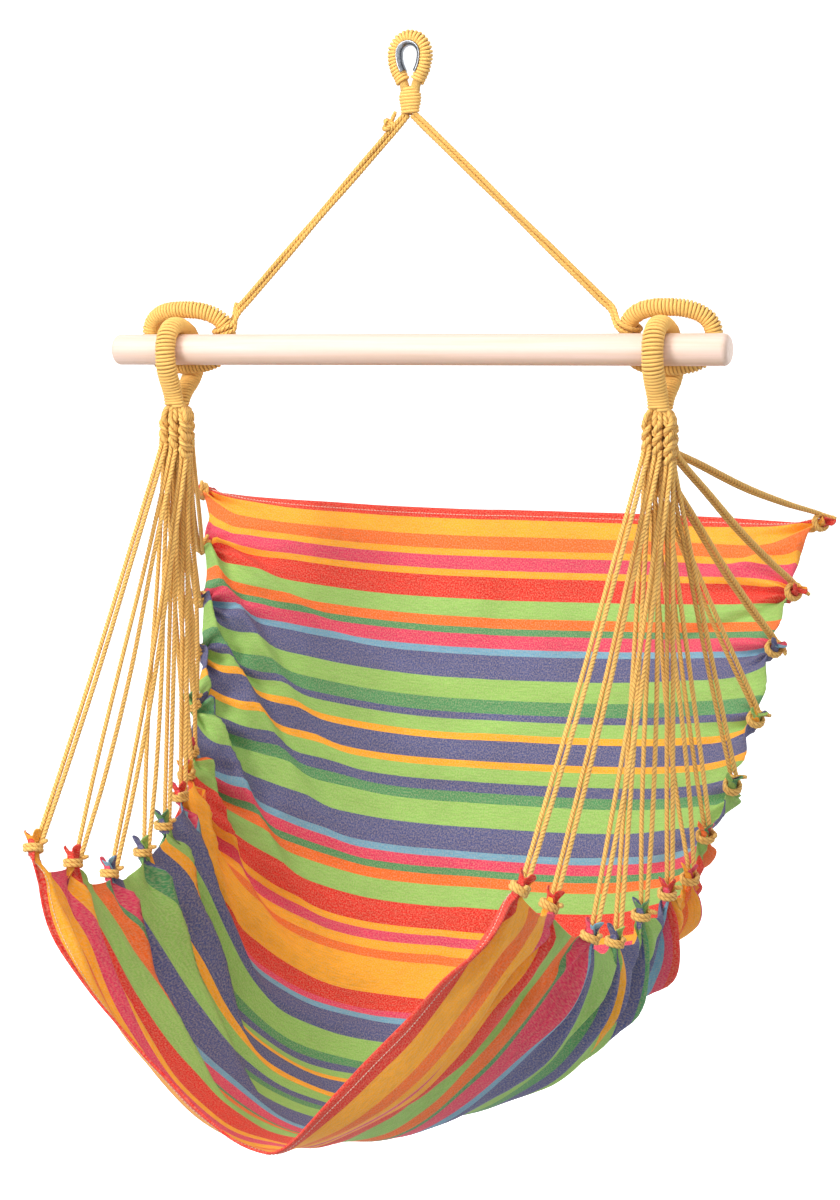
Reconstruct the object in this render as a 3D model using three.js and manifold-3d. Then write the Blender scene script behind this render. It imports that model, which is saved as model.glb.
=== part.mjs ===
// Hammock chair: a gathered cotton sling on cords, hung by two served loops from a wooden
// spreader bar, and by a doubled rope from one served eye with a steel thimble.
// Millimetres, +Z up, -Y is the open front. The origin is where a hook bears in the thimble.
import * as THREE from "three";
import { mergeVertices } from "three/addons/utils/BufferGeometryUtils.js";
import Module from "manifold-3d";

const wasm = await Module();
wasm.setup();

// Fits
const CLEARANCE = 0.3;
const CORE_CLEARANCE = 0.6;
const CUT_OVERRUN = 5;

// Cord stock
const CORD_DIAMETER = 6.2;
const SERVING_THICKNESS = 2.4;
const SERVING_TURN_GAP = 1.5;
const SERVING_TURNS = 24;
const SERVING_STEPS_PER_TURN = 6.4;
const SERVING_CREST_SHARE = 0.62;
const GAP_SAMPLES_PER_TURN = 12;

// Spreader bar
const BAR_LENGTH = 800;
const BAR_DIAMETER = 38;
const BAR_EDGE_RADIUS = 7;
const BAR_EDGE_STEPS = 3;
const BAR_SIDES = 24;
const BAR_DROP = 361;

// Rope eye and thimble
const EYE_DIAMETER = 18;
const EYE_BEND_RADIUS = 20;
const EYE_HEIGHT = 46;
const EYE_LEG_SPREAD = 6.6;
const EYE_SHOULDER = 24;
const EYE_NECK_LEAD = 16;
const THIMBLE_WALL = 1.6;
const THIMBLE_WRAP_ANGLE = THREE.MathUtils.degToRad(58);
const THIMBLE_FACETS = 3;
const THIMBLE_STEPS = 24;
const THIMBLE_END_SHARE = 0.13;
const EYE_SERVING_END_SHARE = 0.135;
const EYE_OUTLINE_STEPS = 60;
const EYE_CORE_STEPS = 21;
const EYE_CORE_SIDES = 8;

// Throat under the eye
const THROAT_DOME_RADIUS = 15;
const THROAT_LENGTH = 19;
const THROAT_LOWER_RADIUS = 12;
const THROAT_FLATTEN_SHARE = 0.6;
const THROAT_NOSE_SHARE = 0.55;
const THROAT_TURNS = 6;
const THROAT_DOME_STEPS = 5;
const THROAT_SIDES = 16;
const SWING_SOCKET_RADIUS = 9.4;

// Suspension ropes: each is the cord laid double
const ROPE_SPREAD = 7.5;
const KNOT_RADIUS = 9;
const KNOT_TRAVEL = 22;
const KNOT_SIDES = 10;
const KNOT_STEPS = 7;
const DOUBLED_SHARE = 0.97;
const DOUBLED_ARC = THREE.MathUtils.degToRad(290);
const DOUBLED_SIDES = 6;
const CUTTER_SIDES = 40;

// Hanger rings, one at each end of the bar
const RING_INSET = 84;
const RING_DIAMETER = 22;
const RING_HALF_LENGTH = 54;
const RING_LOWER_ANGLE = THREE.MathUtils.degToRad(51);
const RING_UPPER_ANGLE = THREE.MathUtils.degToRad(22);
const RING_END_BULGE = 13;
const RING_PLAY = 0.9;
const RING_SERVING_END_SHARE = 0.035;
const RING_CORE_STEPS = 28;
const CORE_SIDES = 6;
const HITCH_PLACE_SHARE = 0.05;
const HITCH_LEAD = 27;
const HITCH_PLAY = 0.7;
const HITCH_START = THREE.MathUtils.degToRad(35);
const HITCH_ARC = THREE.MathUtils.degToRad(280);
const HITCH_STEPS = 12;
const HITCH_TAIL = 20;
const HITCH_TAIL_FLARE_SHARE = 0.35;
const HITCH_RUN_IN_SHARE = 0.08;
const HITCH_SIDES = 8;

// Sling loops over the bar
const LOOP_WIDTH = 27;
const LOOP_THICKNESS = 21;
const LOOP_END_THICKNESS = 12.6;
const LOOP_PLAY = 0.7;
const LOOP_DROP = 70;
const LOOP_NECK_SPREAD = 6.9;
const LOOP_TAPER_SHARE = 0.2;
const LOOP_CORE_STEPS = 33;

// Clews: the plaited heads where the sling cords gather
const CLEW_LENGTH = 62;
const CLEW_WIDTH = 43;
const CLEW_THICKNESS = 26.5;
const CLEW_CORD_PITCH = 6.6;
const CLEW_SIDES = 16;
const CLEW_SQUARENESS = 0.5;
const CORD_SIDES = 6;
const CORD_STEPS = 3;
const CORD_MIDDLE_SHARE = 0.55;

// Sling cloth, measured from the bar's axis
const CLOTH_HALF_WIDTH = 430;
const CLOTH_FRONT_REACH = 400;
const CLOTH_BACK_REACH = 300;
const CLOTH_DROP = 915;
const CLOTH_THICKNESS = 2.4;
const CLOTH_SCALLOP = 32;
const CLOTH_FOLD = 9;
const EARS_PER_SIDE = 13;
const CLOTH_CELLS_ACROSS = 12;
const CLOTH_EDGE_CROWDING = 1.25;
const SURFACE_STEP_SHARE = 0.01;

// Ears of the cloth and their lashings
const EAR_NECK_RADIUS = 6.4;
const EAR_ROOT = 12;
const EAR_TIP = 17;
const EAR_TIP_HALF_WIDTH = 9;
const EAR_TIP_HALF_THICKNESS = 4.4;
const EAR_TIP_LEAN = 1.6;
const EAR_INNER_SHARE = 0.92;
const EAR_OUTWARD_LEAN_SHARE = 1.4;
const LASHING_SIDES = 8;
const LASHING_TURNS = 2;

// The left and the right side hang differently, as in the photographed drape.
// Places along the edge, front ear first: out from the middle, and back from the front reach.
const earOutShares = [0.686, 0.686, 0.709, 0.709, 0.728, 0.753, 0.784, 0.807, 0.853, 0.888, 0.916, 0.949, 1];
const earBackShares = [0, 0.13, 0.28, 0.4, 0.5, 0.593, 0.657, 0.7, 0.764, 0.829, 0.879, 0.929, 0.99];
const leftEarDropShares = [
  0.615, 0.65, 0.683, 0.669, 0.645, 0.616, 0.593, 0.565, 0.505, 0.432, 0.361, 0.286, 0.208,
];
const rightEarDropShares = [
  0.621, 0.658, 0.716, 0.739, 0.718, 0.702, 0.689, 0.637, 0.576, 0.492, 0.4, 0.326, 0.234,
];
// The middle of the cloth, front hem first
const midBackShares = [0.021, 0.289, 0.565, 0.764, 0.871, 0.949, 1];
const midDropShares = [0.97, 1, 0.962, 0.824, 0.63, 0.43, 0.227];
// How the cross-section rises from the middle to an edge, and how soon it spreads sideways
const leftRiseShares = [1.95, 2.1, 2.5, 2.6, 2.3, 2.2, 2];
const rightRiseShares = [1.15, 1.8, 2.7, 2.9, 2.6, 2.2, 2];
const leftSpreadShares = [1.22, 1.35, 1.6, 1.6, 1.4, 1.2, 1];
const rightSpreadShares = [1.02, 1.2, 1.6, 1.7, 1.5, 1.2, 1];
// Where each cord leaves its clew: across the half thickness and up the length
const exitAcrossShares = [-1, -1, -0.8, -0.52, -0.3, -0.12, -0.02, 0.22, 0.42, 0.55, 0.8, 1, 1];
const exitUpShares = [0.3, 0.2, 0, 0, 0, 0, 0, 0, 0, 0, 0, 0.26, 0.5];
const cordSagShares = [0.02, 0.03, 0.07, 0.05, 0.03, 0.02, 0.02, 0.02, 0.02, 0.02, 0.03, 0.03, 0.03];
const CORD_COLUMNS = 3;
// Half width and half thickness down a clew
const clewPlaceShares = [0, 0.14, 0.34, 1];
const clewWidthShares = [0.64, 0.96, 1, 0.94];
// A sling loop's limb: from the crown's circle out round the ring, and down to the neck
const crownAngles = [0, 30, 60, 90, 120, 150, 180, 206, 229];
const crownSwellShares = [0, 0, 0, 0, 0.04, 0.32, 0.7, 1, 1];
const frontLimbOutShares = [0.252, 0.325, 0.43, 0.695, 0.91, 0.99];
const frontLimbDropShares = [0.9, 0.807, 0.714, 0.514, 0.32, 0.14];
const backLimbOutShares = [0.828, 0.546, 0.338, 0.238];
const backLimbDropShares = [0.679, 0.786, 0.886, 0.97];

const barRadius = BAR_DIAMETER / 2;
const cordRadius = CORD_DIAMETER / 2;
const ringRadius = RING_DIAMETER / 2;
const eyeRadius = EYE_DIAMETER / 2;
const barZ = -BAR_DROP;
const ringOut = BAR_LENGTH / 2 - RING_INSET;
const turnFlat = Math.cos(Math.PI / SERVING_STEPS_PER_TURN);
const X = new THREE.Vector3(1, 0, 0);
const Y = new THREE.Vector3(0, 1, 0);
const Z = new THREE.Vector3(0, 0, 1);

// Colours and finishes
const rope = { color: 0xe2aa50, roughness: 0.85, metalness: 0 };
const beech = { color: 0xf2d9be, roughness: 0.55, metalness: 0 };
const steel = { color: 0xb9bcc0, roughness: 0.25, metalness: 1 };
const cotton = { color: 0x8fb35e, roughness: 0.9, metalness: 0 };

const chair = new THREE.Group();

function addPiece(name, geometry, finish) {
  const mesh = new THREE.Mesh(geometry, new THREE.MeshStandardMaterial(finish));
  mesh.name = name;
  chair.add(mesh);
  return mesh;
}

// Small helpers on geometry

function signedVolume(points, triangles) {
  let volume = 0;
  for (let i = 0; i < triangles.length; i += 3) {
    const [a, b, c] = [points[triangles[i]], points[triangles[i + 1]], points[triangles[i + 2]]];
    volume += a.dot(b.clone().cross(c)) / 6;
  }
  return volume;
}

function closedGeometry(points, triangles) {
  const faces = signedVolume(points, triangles) < 0 ? triangles.slice().reverse() : triangles;
  const geometry = new THREE.BufferGeometry();
  const flat = points.flatMap((point) => [point.x, point.y, point.z]);
  geometry.setAttribute("position", new THREE.Float32BufferAttribute(flat, 3));
  geometry.setIndex(faces);
  geometry.computeVertexNormals();
  return geometry;
}

// A skin over rings of points; an open one gets flat ends, a closed one meets itself
function loft(rings, closed = false) {
  const sides = rings[0].length;
  const points = rings.flat();
  const triangles = [];
  const spans = closed ? rings.length : rings.length - 1;
  for (let ring = 0; ring < spans; ring += 1) {
    const here = ring * sides;
    const there = ((ring + 1) % rings.length) * sides;
    for (let side = 0; side < sides; side += 1) {
      const next = (side + 1) % sides;
      triangles.push(here + side, here + next, there + next);
      triangles.push(here + side, there + next, there + side);
    }
  }
  if (!closed) {
    const last = (rings.length - 1) * sides;
    for (let side = 1; side < sides - 1; side += 1) {
      triangles.push(0, side + 1, side);
      triangles.push(last, last + side, last + side + 1);
    }
  }
  return closedGeometry(points, triangles);
}

function weld(geometry) {
  const bare = geometry.clone();
  bare.deleteAttribute("normal");
  bare.deleteAttribute("uv");
  return mergeVertices(bare);
}

function toSolid(geometry) {
  const welded = weld(geometry);
  const vertProperties = Float32Array.from(welded.getAttribute("position").array);
  const triVerts = Uint32Array.from(welded.index.array);
  return new wasm.Manifold(new wasm.Mesh({ numProp: 3, vertProperties, triVerts }));
}

function fromSolid(solid) {
  const mesh = solid.getMesh();
  const geometry = new THREE.BufferGeometry();
  geometry.setAttribute("position", new THREE.Float32BufferAttribute(mesh.vertProperties, 3));
  geometry.setIndex(Array.from(mesh.triVerts));
  geometry.computeVertexNormals();
  return geometry;
}

function roundSection(radius, sides) {
  const section = new THREE.Shape();
  for (let side = 0; side < sides; side += 1) {
    const angle = (side / sides) * 2 * Math.PI;
    const corner = [radius * Math.cos(angle), radius * Math.sin(angle)];
    if (side === 0) section.moveTo(...corner);
    else section.lineTo(...corner);
  }
  section.closePath();
  return section;
}

function tube(curve, radius, sides, steps) {
  const options = { steps, extrudePath: curve, bevelEnabled: false, curveSegments: 1 };
  return new THREE.ExtrudeGeometry(roundSection(radius, sides), options);
}

// A lathe about Z, set on an axis through a point; its facets start at the given side
function turnedOn(profile, segments, centre, axis, side) {
  const geometry = new THREE.LatheGeometry(profile, segments);
  const across = side.clone().projectOnPlane(axis).normalize();
  const frame = new THREE.Matrix4().makeBasis(across, axis.clone(), across.clone().cross(axis));
  geometry.applyMatrix4(frame);
  geometry.translate(centre.x, centre.y, centre.z);
  return geometry;
}

// A frame on a curve: out lies in the plane square to the reference, side near the reference
function frameOn(curve, place, reference) {
  const share = curve.isRing ? place - Math.floor(place) : THREE.MathUtils.clamp(place, 0, 1);
  const along = curve.getTangentAt(share);
  const out = reference.clone().cross(along).normalize();
  const side = along.clone().cross(out).normalize();
  return { point: curve.getPointAt(share), along, out, side };
}

function sectionOn(frame, outReach, sideReach, angle) {
  return frame.point
    .clone()
    .addScaledVector(frame.out, outReach * Math.cos(angle))
    .addScaledVector(frame.side, sideReach * Math.sin(angle));
}

function roundAngles(from, to, count) {
  return Array.from({ length: count }, (_, index) => from + ((to - from) * (index + 0.5)) / count);
}

function ovalRings(curve, reference, places, halfThickness, halfWidth, sides) {
  return places.map((place) => {
    const frame = frameOn(curve, place, reference);
    const angles = roundAngles(0, 2 * Math.PI, sides);
    return angles.map((angle) => sectionOn(frame, halfThickness(place), halfWidth(place), angle));
  });
}

function evenPlaces(from, to, count) {
  return Array.from({ length: count }, (_, index) => from + ((to - from) * index) / (count - 1));
}

// Serving: a flat band of cord wound as one unbroken helix over a core
function serving({ label, curve, reference, from, to, turns, halfThickness, halfWidth }) {
  const length = curve.getLength();
  const pitch = (to - from) / turns;
  const band = pitch - SERVING_TURN_GAP / length;
  const at = (place, angle, depth) => {
    const frame = frameOn(curve, place, reference);
    return sectionOn(frame, halfThickness(place) - depth, halfWidth(place) - depth, angle);
  };
  const section = (turn) => {
    const angle = turn * 2 * Math.PI;
    const place = from + pitch / 2 + (turn / turns) * (to - from - pitch);
    const crest = (band / 2) * SERVING_CREST_SHARE;
    return [
      at(place - band / 2, angle, SERVING_THICKNESS),
      at(place - crest, angle, 0),
      at(place + crest, angle, 0),
      at(place + band / 2, angle, SERVING_THICKNESS),
    ];
  };
  const steps = Math.round(turns * SERVING_STEPS_PER_TURN);
  const rings = evenPlaces(0, turns, steps + 1).map(section);
  // Each end runs on straight for one thickness of the band
  const runOn = (end, before) => {
    const onward = end[0].clone().sub(before[0]).normalize().multiplyScalar(SERVING_THICKNESS);
    return end.map((corner) => corner.clone().add(onward));
  };
  rings.unshift(runOn(rings[0], rings[1]));
  rings.push(runOn(rings[rings.length - 1], rings[rings.length - 2]));
  const samples = evenPlaces(0, turns - 1, GAP_SAMPLES_PER_TURN * turns);
  const gaps = samples.map((turn) => section(turn)[3].distanceTo(section(turn + 1)[0]));
  console.log(`${label}: ${turns} turns, least gap ${Math.min(...gaps).toFixed(2)} mm`);
  return loft(rings);
}

function coreReach(servedReach) {
  return (servedReach - SERVING_THICKNESS) * turnFlat - CORE_CLEARANCE;
}

// Spreader bar: a turned beech rod with softened ends

function spreaderBar() {
  const half = BAR_LENGTH / 2;
  const profile = [new THREE.Vector2(0, -half)];
  for (const end of [-1, 1]) {
    for (let step = 0; step <= BAR_EDGE_STEPS; step += 1) {
      const inward = (end < 0 ? step : BAR_EDGE_STEPS - step) / BAR_EDGE_STEPS;
      const angle = inward * (Math.PI / 2);
      const radius = barRadius - BAR_EDGE_RADIUS * (1 - Math.sin(angle));
      const along = half - BAR_EDGE_RADIUS * (1 - Math.cos(angle));
      profile.push(new THREE.Vector2(radius, end * along));
    }
  }
  profile.push(new THREE.Vector2(0, half));
  const bar = addPiece("spreader_bar", new THREE.LatheGeometry(profile, BAR_SIDES), beech);
  bar.rotation.z = -Math.PI / 2;
  bar.position.z = barZ;
}

// Eye: the rope's bight round a steel thimble, with a served skin

const thimbleFlat = Math.cos(THIMBLE_WRAP_ANGLE / THIMBLE_FACETS);
const gutterReach = (eyeRadius + CLEARANCE) / thimbleFlat;
const bearingDepth = (gutterReach + THIMBLE_WALL) * thimbleFlat;
const eyeCrownZ = bearingDepth - EYE_BEND_RADIUS;
const eyeFootZ = -EYE_HEIGHT - EYE_NECK_LEAD;
const swayZ = -EYE_HEIGHT - THROAT_DOME_RADIUS;
const swingZ = swayZ - THROAT_LENGTH;

function eyeCurve() {
  const outline = new THREE.Path();
  outline.moveTo(EYE_LEG_SPREAD, eyeFootZ);
  outline.bezierCurveTo(
    EYE_LEG_SPREAD, eyeFootZ + EYE_NECK_LEAD, EYE_BEND_RADIUS, eyeCrownZ - EYE_SHOULDER,
    EYE_BEND_RADIUS, eyeCrownZ,
  );
  outline.absarc(0, eyeCrownZ, EYE_BEND_RADIUS, 0, Math.PI, false);
  outline.bezierCurveTo(
    -EYE_BEND_RADIUS, eyeCrownZ - EYE_SHOULDER, -EYE_LEG_SPREAD, eyeFootZ + EYE_NECK_LEAD,
    -EYE_LEG_SPREAD, eyeFootZ,
  );
  const points = outline.getSpacedPoints(EYE_OUTLINE_STEPS);
  return new THREE.CatmullRomCurve3(points.map(({ x, y }) => new THREE.Vector3(x, 0, y)));
}

function crossCylinder(radius, length, axis, z) {
  const cylinder = new THREE.CylinderGeometry(radius, radius, length, CUTTER_SIDES);
  const turn = new THREE.Quaternion().setFromUnitVectors(Y, axis);
  cylinder.applyQuaternion(turn);
  cylinder.translate(0, 0, z);
  return toSolid(cylinder);
}

function eye() {
  const curve = eyeCurve();
  const coreRadius = () => coreReach(eyeRadius);
  const places = evenPlaces(0, 1, EYE_CORE_STEPS + 1);
  const rings = ovalRings(curve, Y, places, coreRadius, coreRadius, EYE_CORE_SIDES);
  const socketRadius = (THROAT_DOME_RADIUS + CLEARANCE) / Math.cos(Math.PI / CUTTER_SIDES);
  const socket = crossCylinder(socketRadius, EYE_DIAMETER + CUT_OVERRUN, Y, swayZ);
  const floor = crossCylinder(socketRadius, EYE_DIAMETER + CUT_OVERRUN, Y, swayZ - THROAT_LENGTH);
  const cut = toSolid(loft(rings)).subtract(socket).subtract(floor);
  addPiece("eye_rope", fromSolid(cut), rope);

  const served = () => eyeRadius;
  addPiece("eye_serving", serving({
    label: "eye_serving", curve, reference: Y,
    from: EYE_SERVING_END_SHARE, to: 1 - EYE_SERVING_END_SHARE,
    turns: SERVING_TURNS, halfThickness: served, halfWidth: served,
  }), rope);

  // The thimble is a gutter on the inner side of the eye
  const middle = new THREE.Vector3(0, 0, eyeCrownZ);
  const thimblePlaces = evenPlaces(THIMBLE_END_SHARE, 1 - THIMBLE_END_SHARE, THIMBLE_STEPS + 1);
  const thimbleRings = thimblePlaces.map((place) => {
    const frame = frameOn(curve, place, Y);
    const inward = frame.out.dot(middle.clone().sub(frame.point)) > 0 ? 0 : Math.PI;
    const angles = evenPlaces(-THIMBLE_WRAP_ANGLE, THIMBLE_WRAP_ANGLE, THIMBLE_FACETS + 1);
    const reach = gutterReach + THIMBLE_WALL;
    const inner = angles.map((angle) => sectionOn(frame, gutterReach, gutterReach, inward + angle));
    const outer = angles.reverse().map((angle) => sectionOn(frame, reach, reach, inward + angle));
    return [...inner, ...outer];
  });
  addPiece("thimble", loft(thimbleRings), steel);
}

// Throat: the gathered rope legs under the eye, with a whipping of cord round them

function throat() {
  const coreTop = coreReach(THROAT_DOME_RADIUS);
  const coreFoot = coreReach(THROAT_LOWER_RADIUS);
  const profile = [];
  for (let step = 0; step <= THROAT_DOME_STEPS; step += 1) {
    const angle = (1 - step / THROAT_DOME_STEPS) * (Math.PI / 2);
    const radius = THROAT_DOME_RADIUS * Math.cos(angle);
    profile.push(new THREE.Vector2(radius, swayZ + THROAT_DOME_RADIUS * Math.sin(angle)));
  }
  profile[0].x = 0;
  profile.push(new THREE.Vector2(coreTop, swayZ - CLEARANCE));
  profile.push(new THREE.Vector2(coreFoot, swingZ));
  // The nose stays inside the round hollow in the rope tops, also at its flattened edges
  for (const share of [1, THROAT_NOSE_SHARE]) {
    const radius = coreFoot * share;
    const depth = Math.sqrt(SWING_SOCKET_RADIUS ** 2 - (radius * THROAT_FLATTEN_SHARE) ** 2);
    profile.push(new THREE.Vector2(radius, swingZ - depth));
  }
  profile.push(new THREE.Vector2(0, profile[profile.length - 1].y));
  const bundle = new THREE.LatheGeometry(profile.reverse(), THROAT_SIDES);
  bundle.rotateX(Math.PI / 2);
  bundle.scale(1, THROAT_FLATTEN_SHARE, 1);
  addPiece("throat_bundle", bundle, rope);

  const top = swayZ - CLEARANCE - SERVING_TURN_GAP;
  const curve = new THREE.LineCurve3(new THREE.Vector3(0, 0, top), new THREE.Vector3(0, 0, swingZ));
  const half = (place) => THREE.MathUtils.lerp(THROAT_DOME_RADIUS, THROAT_LOWER_RADIUS, place);
  // Only the core is flattened; the band keeps its thickness
  const flattened = (place) => THREE.MathUtils.lerp(SERVING_THICKNESS, half(place), THROAT_FLATTEN_SHARE);
  addPiece("throat_whipping", serving({
    label: "throat_whipping", curve, reference: Y, from: 0, to: 1, turns: THROAT_TURNS,
    halfThickness: half, halfWidth: flattened,
  }), rope);
}

// Hanger ring: a closed served ring behind the bar, over a sling loop's crown and under the bar

const loopHalf = LOOP_THICKNESS / 2;
const crownRadius = barRadius + LOOP_PLAY + loopHalf;
const ringLowerReach = barRadius + ringRadius + RING_PLAY;
const ringUpperReach = crownRadius + loopHalf + ringRadius + 2 * RING_PLAY;

class RingCurve extends THREE.Curve {
  constructor(side) {
    super();
    this.side = side;
    this.isRing = true;
    this.low = new THREE.Vector2(Math.sin(RING_LOWER_ANGLE), -Math.cos(RING_LOWER_ANGLE));
    this.low.multiplyScalar(ringLowerReach);
    this.high = new THREE.Vector2(Math.sin(RING_UPPER_ANGLE), Math.cos(RING_UPPER_ANGLE));
    this.high.multiplyScalar(ringUpperReach);
  }

  getPoint(share, target = new THREE.Vector3()) {
    const angle = share * 2 * Math.PI;
    const rise = (1 + Math.sin(angle)) / 2;
    const across = this.side * (ringOut - RING_HALF_LENGTH * Math.cos(angle));
    const place = this.low.clone().lerp(this.high, rise);
    const bulge = RING_END_BULGE * Math.cos(angle) ** 2;
    return target.set(across, place.x + bulge, barZ + place.y);
  }
}

function hangerRing(sideName, side) {
  const curve = new RingCurve(side);
  const coreRadius = () => coreReach(ringRadius);
  const places = evenPlaces(0, 1, RING_CORE_STEPS + 1).slice(0, -1);
  const core = ovalRings(curve, Y, places, coreRadius, coreRadius, CORE_SIDES);
  addPiece(`${sideName}_hanger_ring`, loft(core, true), rope);
  const served = () => ringRadius;
  addPiece(`${sideName}_ring_serving`, serving({
    label: `${sideName}_ring_serving`, curve, reference: Y,
    from: RING_SERVING_END_SHARE, to: 1 + RING_SERVING_END_SHARE / 2,
    turns: SERVING_TURNS, halfThickness: served, halfWidth: served,
  }), rope);
  return curve;
}

// Sling loop: over the bar, round the ring's lower arc, and down to a neck

function loopCurve(side) {
  const swell = ringLowerReach + ringRadius + loopHalf + RING_PLAY - crownRadius;
  const across = side * ringOut;
  const limbPoint = (facing, out, drop) => new THREE.Vector3(
    across, facing * out * crownRadius, barZ - drop * LOOP_DROP,
  );
  const front = frontLimbOutShares.map((out, index) => limbPoint(-1, out, frontLimbDropShares[index]));
  const back = backLimbOutShares.map((out, index) => limbPoint(1, out, backLimbDropShares[index]));
  const crown = crownAngles.map((degrees, index) => {
    const angle = THREE.MathUtils.degToRad(degrees);
    const reach = crownRadius + crownSwellShares[index] * swell;
    return new THREE.Vector3(across, -reach * Math.cos(angle), barZ + reach * Math.sin(angle));
  });
  const neck = LOOP_NECK_SPREAD / crownRadius;
  const points = [limbPoint(-1, neck, 1), ...front, ...crown, ...back, limbPoint(1, neck, 1)];
  return new THREE.CatmullRomCurve3(points, false, "centripetal");
}

function loopTaper(place) {
  const fromEnd = Math.min(place, 1 - place);
  return THREE.MathUtils.smoothstep(fromEnd, 0, LOOP_TAPER_SHARE);
}

function slingLoop(sideName, side) {
  const curve = loopCurve(side);
  const thick = (place) => THREE.MathUtils.lerp(LOOP_END_THICKNESS, LOOP_THICKNESS, loopTaper(place)) / 2;
  const wide = () => LOOP_WIDTH / 2;
  const coreThick = (place) => coreReach(thick(place));
  const coreWide = () => coreReach(wide());
  const core = ovalRings(curve, X, evenPlaces(0, 1, LOOP_CORE_STEPS + 1), coreThick, coreWide, CORE_SIDES);
  addPiece(`${sideName}_sling_loop`, loft(core), rope);
  addPiece(`${sideName}_loop_serving`, serving({
    label: `${sideName}_loop_serving`, curve, reference: X, from: 0, to: 1,
    turns: SERVING_TURNS, halfThickness: thick, halfWidth: wide,
  }), rope);
}

// Suspension rope: two runs of one cord side by side, from the throat to a hitch on the ring

function suspensionRope(sideName, side, ring) {
  const frame = frameOn(ring, HITCH_PLACE_SHARE, Y);
  const top = new THREE.Vector3(side * ROPE_SPREAD, 0, swingZ - SWING_SOCKET_RADIUS / 2);
  const way = top.clone().sub(frame.point).normalize();
  const foot = frame.point.clone().addScaledVector(way, HITCH_LEAD);
  const line = new THREE.LineCurve3(foot, top);
  const rings = [0, 0.5, 1].map((place) => {
    const { point, out, side: beside } = frameOn(line, place, Y);
    return [1, -1].flatMap((which) => {
      const middle = point.clone().addScaledVector(out, which * cordRadius * DOUBLED_SHARE);
      const run = { point: middle, out, side: beside };
      const turn = which > 0 ? 0 : Math.PI;
      const angles = roundAngles(turn - DOUBLED_ARC / 2, turn + DOUBLED_ARC / 2, DOUBLED_SIDES);
      return angles.map((angle) => sectionOn(run, cordRadius, cordRadius, angle));
    });
  });
  const socketRadius = (SWING_SOCKET_RADIUS + CLEARANCE) / Math.cos(Math.PI / CUTTER_SIDES);
  const socketReach = ROPE_SPREAD + CORD_DIAMETER + 2 * SWING_SOCKET_RADIUS;
  const socket = crossCylinder(socketRadius, 2 * socketReach, X, swingZ);
  const runs = toSolid(loft(rings)).subtract(socket);

  // One run goes on in a turn round the ring, and ends in a short tail
  const hitchRadius = ringRadius + CLEARANCE + HITCH_PLAY + cordRadius;
  const shift = X.clone().multiplyScalar(Math.sign(side * ringOut - frame.point.x) * HITCH_PLAY);
  const begin = Math.atan2(way.dot(frame.side), way.dot(frame.out));
  const path = [line.getPoint(HITCH_RUN_IN_SHARE), foot];
  for (let step = 0; step <= HITCH_STEPS; step += 1) {
    const angle = begin + side * (HITCH_START + (HITCH_ARC * step) / HITCH_STEPS);
    const lead = cordRadius * (step / HITCH_STEPS - 0.5) * 2;
    const place = sectionOn(frame, hitchRadius, hitchRadius, angle).add(shift);
    path.push(place.addScaledVector(frame.along, -side * lead));
  }
  const last = path[path.length - 1];
  const flare = last.clone().sub(frame.point).normalize().multiplyScalar(HITCH_TAIL_FLARE_SHARE);
  const tailWay = flare.addScaledVector(Z, -side).normalize();
  for (const reach of [HITCH_TAIL / 2, HITCH_TAIL]) path.push(last.clone().addScaledVector(tailWay, reach));
  const curve = new THREE.CatmullRomCurve3(path, false, "centripetal");
  const hitch = toSolid(tube(curve, cordRadius, HITCH_SIDES, 2 * HITCH_STEPS));
  addPiece(`${sideName}_suspension_rope`, fromSolid(runs.add(hitch)), rope);
  return line;
}

function topKnot(line) {
  const ball = new THREE.SphereGeometry(KNOT_RADIUS, KNOT_SIDES, KNOT_STEPS);
  const { out } = frameOn(line, 1, Y);
  const upward = out.z < 0 ? out.clone().negate() : out;
  const beside = (1 + DOUBLED_SHARE) * cordRadius + KNOT_RADIUS + CLEARANCE;
  const centre = line.getPoint(1 - KNOT_TRAVEL / line.getLength()).addScaledVector(upward, beside);
  ball.translate(centre.x, centre.y, centre.z);
  addPiece("left_top_knot", ball, rope);
}

// Clew: the cords plaited into a flat head under a sling loop

const clewTopZ = barZ - LOOP_DROP - CORE_CLEARANCE;
const clewFootZ = clewTopZ - CLEW_LENGTH;

function clew(sideName, side) {
  const squarish = (value) => Math.sign(value) * Math.abs(value) ** CLEW_SQUARENESS;
  const rings = clewPlaceShares.map((place, index) => {
    const halfWidth = (CLEW_WIDTH / 2) * clewWidthShares[index];
    return Array.from({ length: CLEW_SIDES }, (_, corner) => {
      const angle = (corner / CLEW_SIDES) * 2 * Math.PI;
      const across = side * ringOut + halfWidth * squarish(Math.cos(angle));
      const back = (CLEW_THICKNESS / 2) * squarish(Math.sin(angle));
      return new THREE.Vector3(across, back, clewTopZ - place * CLEW_LENGTH);
    });
  });
  addPiece(`${sideName}_clew`, loft(rings), rope);
}

// Cloth surface: share 0 is the front hem and 1 the top hem, across runs from -1 to 1

function smoothTable(table, share) {
  const place = THREE.MathUtils.clamp(share, 0, 1) * (table.length - 1);
  const index = Math.min(Math.floor(place), table.length - 2);
  const before = table[index - 1] ?? 2 * table[index] - table[index + 1];
  const after = table[index + 2] ?? 2 * table[index + 1] - table[index];
  const t = place - index;
  const [a, b] = [table[index], table[index + 1]];
  return 0.5 * (2 * a + (b - before) * t + (2 * before - 5 * a + 4 * b - after) * t * t
    + (3 * a - before - 3 * b + after) * t * t * t);
}

const clothRun = CLOTH_FRONT_REACH + CLOTH_BACK_REACH;

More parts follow.
